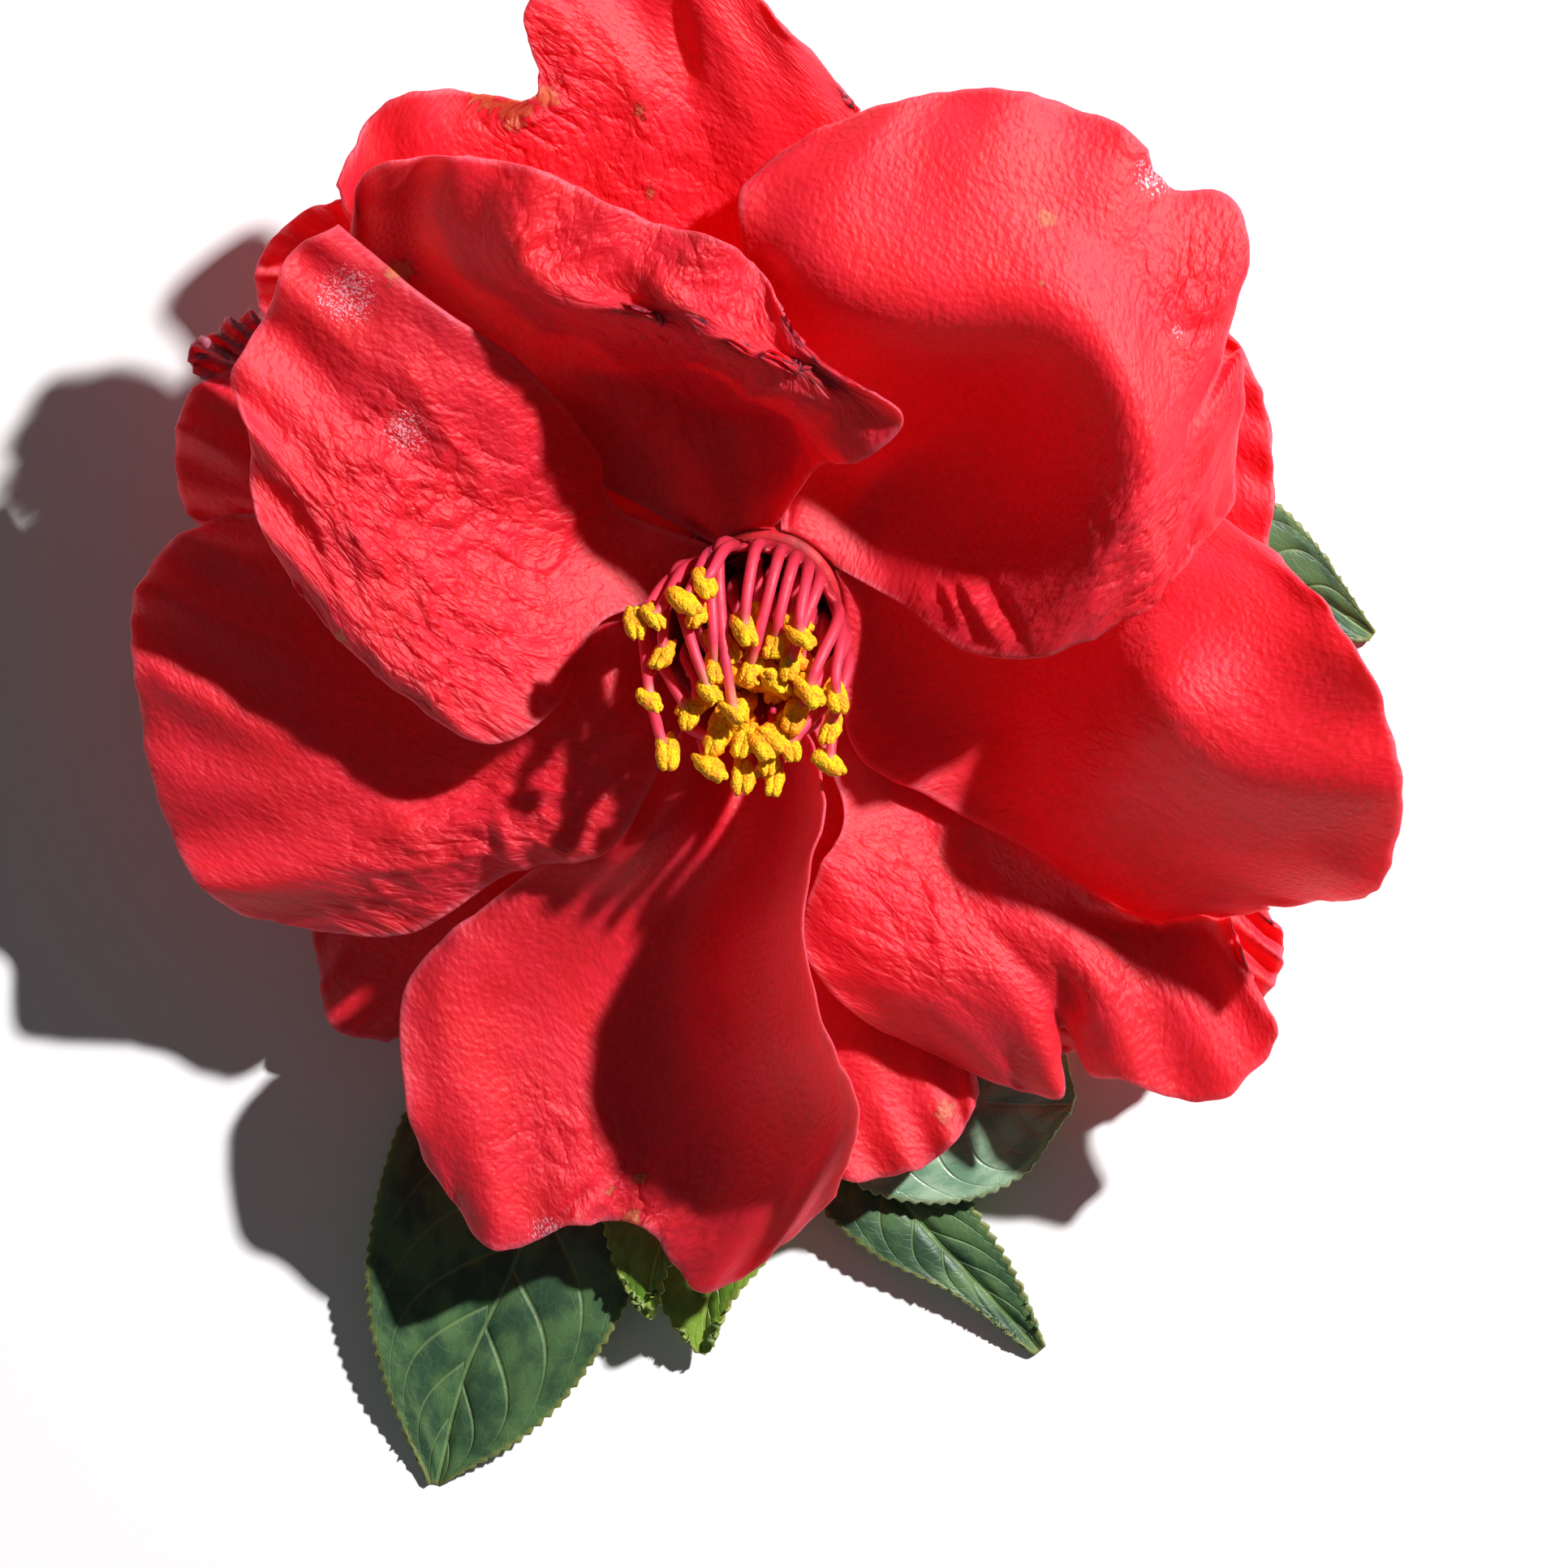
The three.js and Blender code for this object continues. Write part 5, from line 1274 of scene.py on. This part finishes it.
def inner_path():
    """A shorter thread from inside the tube, with its anther somewhere under the outer ones."""
    degrees, share = chance.uniform(0, 360), chance.uniform(0.02, 1) ** 0.6
    turn = math.radians(degrees)
    tip = np.array([-2.6 + 6.2 * share * math.cos(turn), -12.2 + 6.4 * share * math.sin(turn),
                    chance.uniform(30.6, 34.0)])
    root = bloom_point(degrees, 3.2 + 2.2 * share, TUBE_HEIGHT - 2)
    belly = bloom_point(degrees, 3.6 + 2.6 * share, 11.0)
    return [root, belly, tip * 0.6 + root * 0.4 + 1.4 * BLOOM_AXIS, tip]


paths = [outer_path(x, y, k) for k, (x, y) in enumerate(ANTHERS)]
paths += [inner_path() for _ in range(INNER_STAMENS)]
places = np.linspace(0, 1, THREAD_POINTS)
threads = np.stack([smooth_shares(4, places) @ np.array(path) for path in paths])
belly = np.sin(np.linspace(0, math.pi, THREAD_POINTS))[None, :, None]
threads += WANDER * (chance.uniform(-1, 1, (len(paths), 1, 3)) * belly)
print("threads:", len(threads))

# %% Geometry Nodes: threads
def set_input(modifier, name, value):
    """Sets a modifier's input by its socket's identifier."""
    for item in modifier.node_group.interface.items_tree:
        if item.item_type == "SOCKET" and item.in_out == "INPUT" and item.name == name:
            modifier[item.identifier] = value
            return
    raise KeyError(name)


def new_geometry_tree(name, sizes):
    """A tree that takes a mesh and named sizes: name to socket kind and default."""
    tree = bpy.data.node_groups.new(name, "GeometryNodeTree")
    tree.interface.new_socket("Geometry", in_out="INPUT", socket_type="NodeSocketGeometry")
    for key, (kind, default) in sizes.items():
        socket = tree.interface.new_socket(key, in_out="INPUT", socket_type="NodeSocket" + kind)
        socket.default_value = default
    tree.interface.new_socket("Geometry", in_out="OUTPUT", socket_type="NodeSocketGeometry")
    return tree, tree.nodes.new("NodeGroupInput").outputs


def geometry(tree, kind, inputs=None, **settings):
    """The first output of a Geometry Nodes node, named without its prefix."""
    return node(tree, "GeometryNode" + kind, inputs, **settings).outputs[0]


def end_tree(tree, shape, material):
    """Realises, smooths and paints what the tree made, and puts it out."""
    shape = geometry(tree, "RealizeInstances", {"Geometry": shape})
    shape = geometry(tree, "SetShadeSmooth", {"Geometry": shape})
    shape = geometry(tree, "SetMaterial", {"Geometry": shape, "Material": material})
    tree.links.new(shape, tree.nodes.new("NodeGroupOutput").inputs[0])
    return tree


def finished_mesh(carrier):
    """The mesh that an object's modifiers make. The object itself goes away."""
    mesh = bpy.data.meshes.new_from_object(carrier.evaluated_get(bpy.context.evaluated_depsgraph_get()))
    bpy.data.objects.remove(carrier)
    return mesh


def run_tree(name, source, tree, sizes):
    """Runs a tree on a mesh and returns the result as a plain mesh object."""
    carrier = place_mesh(name + "_carrier", source)
    modifier = carrier.modifiers.new(name, "NODES")
    modifier.node_group = tree
    for key, value in sizes.items():
        set_input(modifier, key, value)
    mesh = finished_mesh(carrier)
    mesh.name = name
    return place_mesh(name, mesh)


def carried(tree, key, kind="FLOAT"):
    """A measure that the points carry, inside Geometry Nodes."""
    return geometry(tree, "InputNamedAttribute", {"Name": key}, data_type=kind)


def thread_tree(material):
    """Plain lines into round threads, as thick at each point as its radius says."""
    tree, given = new_geometry_tree("StamenThreads", {"Thickness": ("Float", 1.0), "Sides": ("Int", 8)})
    curve = geometry(tree, "MeshToCurve", {0: given["Geometry"]})
    ring = geometry(tree, "CurvePrimitiveCircle", {"Resolution": given["Sides"], "Radius": 1.0})
    thickness = product(tree, carried(tree, "radius_m"), given["Thickness"])
    inputs = {"Curve": curve, "Profile Curve": ring, "Scale": thickness, "Fill Caps": True}
    return end_tree(tree, geometry(tree, "CurveToMesh", inputs), material)


# %% Filament material and threads
def filament_material():
    """Deep rose low down, partly the threads' own colour and partly painted shade; paler and glassy towards
    the tips, with a fine lengthwise grain.
    """
    material, tree, shader = new_material("filament")
    height = measure(tree, "height_share")
    grain = noise(tree, node(tree, "ShaderNodeTexCoord").outputs["Object"], 1400.0, 2.0)
    # Darker towards the foot: partly the threads' own deep rose, and partly painted shade deep in the bloom,
    # most of all on the tube.
    colour = blend(tree, ramp(tree, height, 0.3, 0.85), srgb(140, 0, 18), srgb(238, 62, 92))
    colour = blend(tree, ramp(tree, height, 0.86, 1.0), colour, srgb(246, 150, 110))
    colour = blend(tree, ramp(tree, grain, 0.4, 0.8, 0.0, 0.5), colour, srgb(214, 40, 74))
    roughness = ramp(tree, grain, 0.3, 0.7, 0.5, 0.62)
    dress(tree, shader, colour, roughness, grain, 0.00008, glow(0.6, (1.0, 0.25, 0.25), 0.0012), 0.5)
    return material


ROOT_RADIUS, TIP_RADIUS = 0.6, 0.4  # of a filament
ROOT_SHARE = 0.35  # a free thread takes up the colours where the tube leaves off
FILAMENT = filament_material()
lines = bpy.data.meshes.new("thread_lines")
starts = [k for k in range(threads.shape[0] * THREAD_POINTS) if (k + 1) % THREAD_POINTS]
lines.from_pydata((threads.reshape(-1, 3) * MM).tolist(), [(k, k + 1) for k in starts], [])
share = np.tile(places, len(threads))
add_measures(lines, {
    "radius_m": (ROOT_RADIUS - (ROOT_RADIUS - TIP_RADIUS) * share) * MM,
    "height_share": ROOT_SHARE + (1 - ROOT_SHARE) * share,
})
filaments = run_tree("stamen_threads", lines, thread_tree(FILAMENT), {"Thickness": 1.0, "Sides": 8})
hand_over(filaments, "stamens")

# %% [markdown]
# The tube is thick and a little waxy, so it is a turned wall and not a sheet. Its ribs are where the
# feet of the threads grew together.

# %% Stamen tube
TUBE_RIBS = 30  # about one for each outer thread
TUBE_SIDES = 240
RIB_HEIGHT = 0.12
# The wall seen in section: distance from the axis, height, and whether it is ribbed there.
TUBE_WALLS = [
    (TUBE_FOOT - TUBE_WALL, 2.5, 0), (TUBE_FOOT, 2.5, 0), (6.65, 5.2, 0), (7.15, 7.5, 1), (7.55, 9.4, 1),
    (7.5, 10.0, 1), (7.15, 10.0, 0), (6.7, 9.0, 0), (6.2, 7.0, 0), (5.6, 5.0, 0),
]


def ring_faces(rings, sides):
    """Faces of a closed skin between rings of points, the last of which joins the first."""
    faces = []
    for k in range(rings):
        for j in range(sides):
            a, b = k * sides + j, k * sides + (j + 1) % sides
            c, d = (k + 1) % rings * sides + j, (k + 1) % rings * sides + (j + 1) % sides
            faces.append((a, b, d, c))
    return faces


def stamen_tube():
    """The fleshy ring in which the threads end: ribbed outside, rounded at its rim."""
    corners = []
    for radius, height, ribbed in TUBE_WALLS:
        for turn in np.linspace(0, 360, TUBE_SIDES, endpoint=False):
            rib = RIB_HEIGHT * math.cos(math.radians(turn * TUBE_RIBS)) * ribbed
            corners.append(bloom_point(turn, radius + rib, height))
    # Low shares give the tube the dark colour of the threads' foot, which is partly painted shade.
    shares = np.repeat([height / 20 for _, height, _ in TUBE_WALLS], TUBE_SIDES)
    faces = ring_faces(len(TUBE_WALLS), TUBE_SIDES)
    return make_object("stamen_tube", np.array(corners), faces, {"height_share": shares}, FILAMENT)


hand_over(stamen_tube(), "stamens")

# %% [markdown]
# Each anther is two lobes of a flattened ball. One is made and put on all the tips, then every copy
# becomes real mesh, so that its pollen can be pushed out differently on each.

# %% Geometry Nodes: anthers
def pollen_grains(tree, seed, scale):
    """Random bumps of one size, for the anthers' skin."""
    inputs = {"Vector": geometry(tree, "InputPosition"), "W": seed, "Scale": scale, "Detail": 1.0}
    return node(tree, "ShaderNodeTexNoise", inputs, noise_dimensions="4D").outputs["Fac"]


def anther_tree(material):
    """Two swollen lobes side by side, put on each tip and roughened with pollen."""
    tree, given = new_geometry_tree("Anthers", {
        "Length": ("Float", 0.0032), "Width": ("Float", 0.0017), "Pollen": ("Float", 0.00022),
        "Seed": ("Float", 3.0)})
    half, lobe_width = product(tree, given["Length"], 0.5), product(tree, given["Width"], 0.3)
    size = node(tree, "ShaderNodeCombineXYZ", {"X": lobe_width, "Y": lobe_width, "Z": half}).outputs[0]
    ball = geometry(tree, "MeshUVSphere", {"Segments": 12, "Rings": 12, "Radius": 1.0})
    lobes = tree.nodes.new("GeometryNodeJoinGeometry")
    for side in (-0.5, 0.5):
        shift = node(tree, "ShaderNodeCombineXYZ", {"X": product(tree, lobe_width, side)}).outputs[0]
        lobe = geometry(tree, "Transform", {"Geometry": ball, "Translation": shift, "Scale": size})
        tree.links.new(lobe, lobes.inputs[0])
    lie = carried(tree, "lie", "FLOAT_VECTOR")
    turned = node(tree, "FunctionNodeAlignRotationToVector", {"Vector": lie}, axis="Z").outputs[0]
    placed = geometry(tree, "InstanceOnPoints", {
        "Points": given["Geometry"], "Instance": lobes.outputs[0], "Rotation": turned,
        "Scale": carried(tree, "size")})
    real = geometry(tree, "RealizeInstances", {"Geometry": placed})
    coarse, fine = (pollen_grains(tree, given["Seed"], scale) for scale in (900.0, 3200.0))
    both = calc(tree, "ADD", product(tree, coarse, 2.2), fine)
    push = product(tree, calc(tree, "SUBTRACT", both, 1.6), given["Pollen"])
    normal = geometry(tree, "InputNormal")
    offset = node(tree, "ShaderNodeVectorMath", {0: normal, "Scale": push}, operation="SCALE").outputs[0]
    return end_tree(tree, geometry(tree, "SetPosition", {"Geometry": real, "Offset": offset}), material)


def pollen_material():
    """Golden pollen: grains of light and deep yellow, with orange painted shade in the cracks and on the
    anthers low in the bloom.
    """
    material, tree, shader = new_material("pollen")
    place = node(tree, "ShaderNodeTexCoord").outputs["Object"]
    grains, patches = voronoi(tree, place, 4200.0), noise(tree, place, 700.0, 3.0)
    colour = blend(tree, ramp(tree, patches, 0.35, 0.6), srgb(255, 170, 0), srgb(255, 212, 0))
    # Painted shade: orange in the cracks between the grains.
    colour = blend(tree, ramp(tree, grains, 0.35, 0.8, 0.0, 0.5), colour, srgb(240, 96, 0))
    # Painted shade: anthers low in the bloom turn orange.
    low = ramp(tree, parts_of(tree, place)["Z"], 0.031, 0.0345, 0.55, 0.0)
    colour = blend(tree, low, colour, srgb(255, 116, 0))
    roughness, height = ramp(tree, patches, 0.3, 0.7, 0.65, 0.85), calc(tree, "SUBTRACT", 1.0, grains)
    dress(tree, shader, colour, roughness, height, 0.00012, glow(0.3, (1.0, 0.7, 0.1), 0.0006))
    return material

# %% Putting on the anthers
ANTHER_SIZES = {"Length": 0.0034, "Width": 0.0021, "Pollen": 0.0004, "Seed": 3.0}  # metres, but for the seed

tips = threads[:, -1]
turns = -1.4 + 0.7 * np.sin(2.4 * np.arange(len(tips)))
turns[len(ANTHERS):] = chance.uniform(-math.pi, math.pi, INNER_STAMENS)
lies = unit(np.stack([np.cos(turns), np.sin(turns), np.full(len(tips), 0.6)], -1))
spots = bpy.data.meshes.new("anther_spots")
spots.from_pydata((tips * MM).tolist(), [], [])
add_measures(spots, {"lie": lies, "size": chance.uniform(0.85, 1.15, len(tips))})
hand_over(run_tree("anthers", spots, anther_tree(pollen_material()), ANTHER_SIZES), "stamens")

# %% [markdown]
# ## Pistil
# In the middle of the stamens stands the pistil: a small silky ovary with a slender style that parts
# into three. It hardly shows from above, but someone who looks into the tube finds it there.

# %% Pistil
def plain_flesh(name, dark, light, grain_size, roughness, depth, veil):
    """A material for the small fleshy parts: two tones in a fine grain, with a silky veil."""
    material, tree, shader = new_material(name)
    place = node(tree, "ShaderNodeTexCoord").outputs["Object"]
    mottle, grain = noise(tree, place, grain_size * 0.3, 3.0), noise(tree, place, grain_size, 3.0)
    colour = blend(tree, ramp(tree, mottle, 0.38, 0.62), dark, light)
    dress(tree, shader, colour, ramp(tree, grain, 0.3, 0.7, roughness, roughness + 0.15), grain, depth,
          silk(veil, 0.4))
    return material


def turned(profile, sides):
    """A closed body turned round the bloom's axis; the profile starts and ends on it."""
    corners = [bloom_point(0, 0, profile[0][1])]
    for radius, height in profile[1:-1]:
        corners += [bloom_point(360 * j / sides, radius, height) for j in range(sides)]
    corners.append(bloom_point(0, 0, profile[-1][1]))
    faces, last, rings = [], len(corners) - 1, len(profile) - 2
    for j in range(sides):
        a, b = 1 + j, 1 + (j + 1) % sides
        faces.append((0, a, b))
        for k in range(rings - 1):
            faces.append((a + k * sides, a + (k + 1) * sides, b + (k + 1) * sides, b + k * sides))
        faces.append((last, b + (rings - 1) * sides, a + (rings - 1) * sides))
    return np.array(corners), faces


def rounded(profile, passes):
    """The same profile with its corners cut again and again."""
    points = np.array(profile, float)
    for _ in range(passes):
        cut = np.stack([points[:-1] * 0.75 + points[1:] * 0.25, points[:-1] * 0.25 + points[1:] * 0.75], 1)
        points = np.concatenate([points[:1], cut.reshape(-1, 2)[1:-1], points[-1:]])
    return [tuple(p) for p in points]


def joined(name, parts, material):
    """Several closed shells as one object."""
    corners, faces, start = [], [], 0
    for points, part_faces in parts:
        corners.append(points)
        faces += [tuple(start + k for k in face) for face in part_faces]
        start += len(points)
    return make_object(name, np.concatenate(corners), faces, {}, material)


# The ovary and its style seen in section: distance from the axis and height.
OVARY = [(0, 2.5), (1.7, 2.5), (2.3, 4), (1.7, 5.6), (0.7, 6.6), (0.6, 12), (0, 12)]
STYLE_ARMS = (90, 210, 330)  # where the style's three arms point, in degrees
pistil_parts = [turned(rounded(OVARY, 2), 32)]
for turn in STYLE_ARMS:
    arm = [bloom_point(0, 0, 11), bloom_point(turn, 0.7, 12.6), bloom_point(turn, 1.9, 14.4)]
    pistil_parts.append(tube(arm, [0.5, 0.42, 0.5], 14, 20))
PISTIL = plain_flesh("pistil_flesh", srgb(190, 84, 50), srgb(220, 130, 80), 1500.0, 0.45, 0.0001, 0.2)
hand_over(joined("pistil_body", pistil_parts, PISTIL), "pistil")

# %% [markdown]
# ## Calyx
# Five thick rounded sepals hold the petals from below, round the swollen end of the flower stalk. They
# are leathery, green at the foot and brown at the rim, and silky outside. The flower stalk's end, the
# receptacle, is rosy where the stamens stand on it.

# %% Calyx
# The receptacle seen in section: distance from the axis and height.
CORE = [(0, 2.2), (6.3, 2.2), (6.35, 0.2), (7.9, -0.2), (7.9, -1.4), (6.6, -4), (4.2, -7.2), (2.4, -9.4),
        (2.1, -11.4), (0, -11.4)]
SEPALS = 5
SEPAL_STEPS = 25  # points each way on a sepal
SEPAL_HALF_WIDTH = 37  # degrees


def sepal_surface(turn, low):
    """A rounded scale that hugs the core. Low is 0 or 1, the tier it stands in."""
    steps = np.linspace(0, 1, SEPAL_STEPS)
    grid = np.zeros((SEPAL_STEPS, SEPAL_STEPS, 3))
    for i, along in enumerate(steps):
        for j, across in enumerate(2 * steps - 1):
            reach = along * (1 - 0.3 * across * across)
            radius = 2.5 + 6.1 * reach**0.9 + low * 0.6
            degrees = turn + SEPAL_HALF_WIDTH * across
            grid[i, j] = bloom_point(degrees, radius, -8.6 + 6.2 * reach - low * 0.8)
    return grid


def calyx_material():
    """Green at the foot, brown and dry at the rim, with fine lengthwise streaks."""
    material, tree, shader = new_material("sepal")
    parts = parts_of(tree, measure(tree, "skin", "Vector"))
    place = flat_place(tree, product(tree, parts["X"], 2.6), product(tree, parts["Y"], 0.35))
    streaks = noise(tree, place, 1.0, 3.0)
    colour = blend(tree, ramp(tree, streaks, 0.35, 0.65), srgb(104, 116, 58), srgb(140, 146, 84))
    colour = blend(tree, ramp(tree, measure(tree, "edge"), 0.2, 1.8, 0.9, 0.0), colour, srgb(112, 82, 52))
    dress(tree, shader, colour, ramp(tree, streaks, 0.3, 0.7, 0.5, 0.68), streaks, 0.00025, silk(0.5, 0.35))
    return material


SEPAL = calyx_material()
RECEPTACLE = plain_flesh("receptacle_flesh", srgb(150, 8, 18), srgb(190, 14, 30), 900.0, 0.55, 0.0001, 0.1)
hand_over(joined("receptacle", [turned(rounded(CORE, 2), 64)], RECEPTACLE), "calyx")
for k in range(SEPALS):
    surface = sepal_surface(20 + 360 / SEPALS * k, k % 2)
    skin, along, edge = skin_measures(surface)
    thickness = 0.5 + 0.7 * (1 - bell(edge, 1.6))
    measures = {"skin": np.stack([skin + 19 * k, along, skin], -1), "edge": edge}
    hand_over(shell(f"sepal_{k + 1}", surface, thickness, measures, SEPAL), "calyx")

# %% [markdown]
# ## Twig
# The woody twig carries everything. It was cut at its thick end, and it bends gently along the table.
# The twig and the flower stalk are two rods, so the seam between them would show. A voxel Remesh
# melts them into one skin, and the bark's cracks and leaf scars are pressed in afterwards.

# %% Twig
TWIG = [  # x, y and radius, from the cut end to the tip
    (-16, 24, 2.4), (-10, 14, 2.3), (-4, 5.5, 2.2), (0, -3, 2.1), (-0.6, -16, 1.9), (-1, -30, 1.7),
    (-2, -44.2, 1.4),
]
TWIG_FLAT = 0.35  # how far the underside is pressed in where it lies
TWIG_LENGTH = 75
CUT_FACING = unit(np.array([-6.0, 10.0, 0.0]))
SCAR_HEIGHT, SCAR_REACH = 0.4, 1.8  # the swelling at the foot of each leaf stalk
VOXEL = 0.3


def melted(name, parts):
    """Overlapping closed shells turned into one, by a voxel Remesh and a little smoothing."""
    raw = joined(name + "_raw", parts, STALK)
    remesh = raw.modifiers.new("melt", "REMESH")
    remesh.mode = "VOXEL"
    remesh.voxel_size = VOXEL * MM
    smooth = raw.modifiers.new("smooth", "SMOOTH")
    smooth.factor = 0.5
    smooth.iterations = 3
    return finished_mesh(raw)


rod = tube([(x, y, r - TWIG_FLAT) for x, y, r in TWIG], [r for _, _, r in TWIG], 28, 90)
stub = tube([(-0.2, -0.4, 2), bloom_point(0, 0, -13), bloom_point(0, 0, -11.7)], [2, 1.95, 1.9], 28, 30)
twig_mesh = melted("twig", [rod, stub])
corners = np.zeros(3 * len(twig_mesh.vertices), np.float32)
twig_mesh.vertices.foreach_get("co", corners)
corners = corners.reshape(-1, 3) / MM
facing = np.array([v.normal for v in twig_mesh.vertices])
_, place = beside(corners, [(x, y) for x, y, _ in TWIG])
lengthwise = place * TWIG_LENGTH + np.clip(corners[:, 2] - 4.5, 0, None)
around = np.arctan2(facing[:, 2], facing[:, 0]) * 2.2
bark = 0.12 * creases(around * 1.5, lengthwise * 0.5, 1.1, 51) + 0.1 * hills(around, lengthwise, 2.5, 52)
for leaf in LEAVES:
    foot = np.array(leaf["stalk"][0])
    bark += SCAR_HEIGHT * bell(np.linalg.norm(corners - foot, axis=1), SCAR_REACH)
is_cut = (place < 0.002) & (np.abs(facing @ CUT_FACING) > 0.8)
corners += facing * (np.where(is_cut, 0, bark - 0.1))[:, None]
corners[:, 2] = np.maximum(corners[:, 2], 0)
twig_mesh.vertices.foreach_set("co", (corners * MM).astype(np.float32).ravel())
twig_mesh.update()
print("lowest point of the twig in mm:", round(float(corners[:, 2].min()), 3))

# %% Bark
def bark_material():
    """Grey-brown bark with pale breathing pores, greener towards the young end, pale wood at the cut."""
    material, tree, shader = new_material("bark")
    parts = parts_of(tree, measure(tree, "skin", "Vector"))
    place = flat_place(tree, parts["X"], product(tree, parts["Y"], 0.35))
    cracks, pores = noise(tree, place, 1.6, 4.0), voronoi(tree, place, 0.9)
    colour = blend(tree, ramp(tree, cracks, 0.38, 0.62), srgb(78, 58, 42), srgb(128, 104, 78))
    colour = blend(tree, ramp(tree, parts["Y"], 40.0, 75.0, 0.0, 0.7), colour, srgb(96, 110, 58))
    colour = blend(tree, ramp(tree, pores, 0.08, 0.2, 0.8, 0.0), colour, srgb(176, 156, 124))
    colour = blend(tree, measure(tree, "cut"), colour, srgb(206, 190, 140))
    dress(tree, shader, colour, ramp(tree, cracks, 0.3, 0.7, 0.7, 0.9), cracks, 0.0003, {})
    return material


twig_mesh.materials.clear()
twig_mesh.materials.append(bark_material())
twig_mesh.shade_smooth()
skin = np.stack([around, lengthwise, np.zeros_like(around)], -1)
add_measures(twig_mesh, {"skin": skin, "cut": is_cut.astype(float)})
hand_over(place_mesh("twig_bark", twig_mesh), "twig")
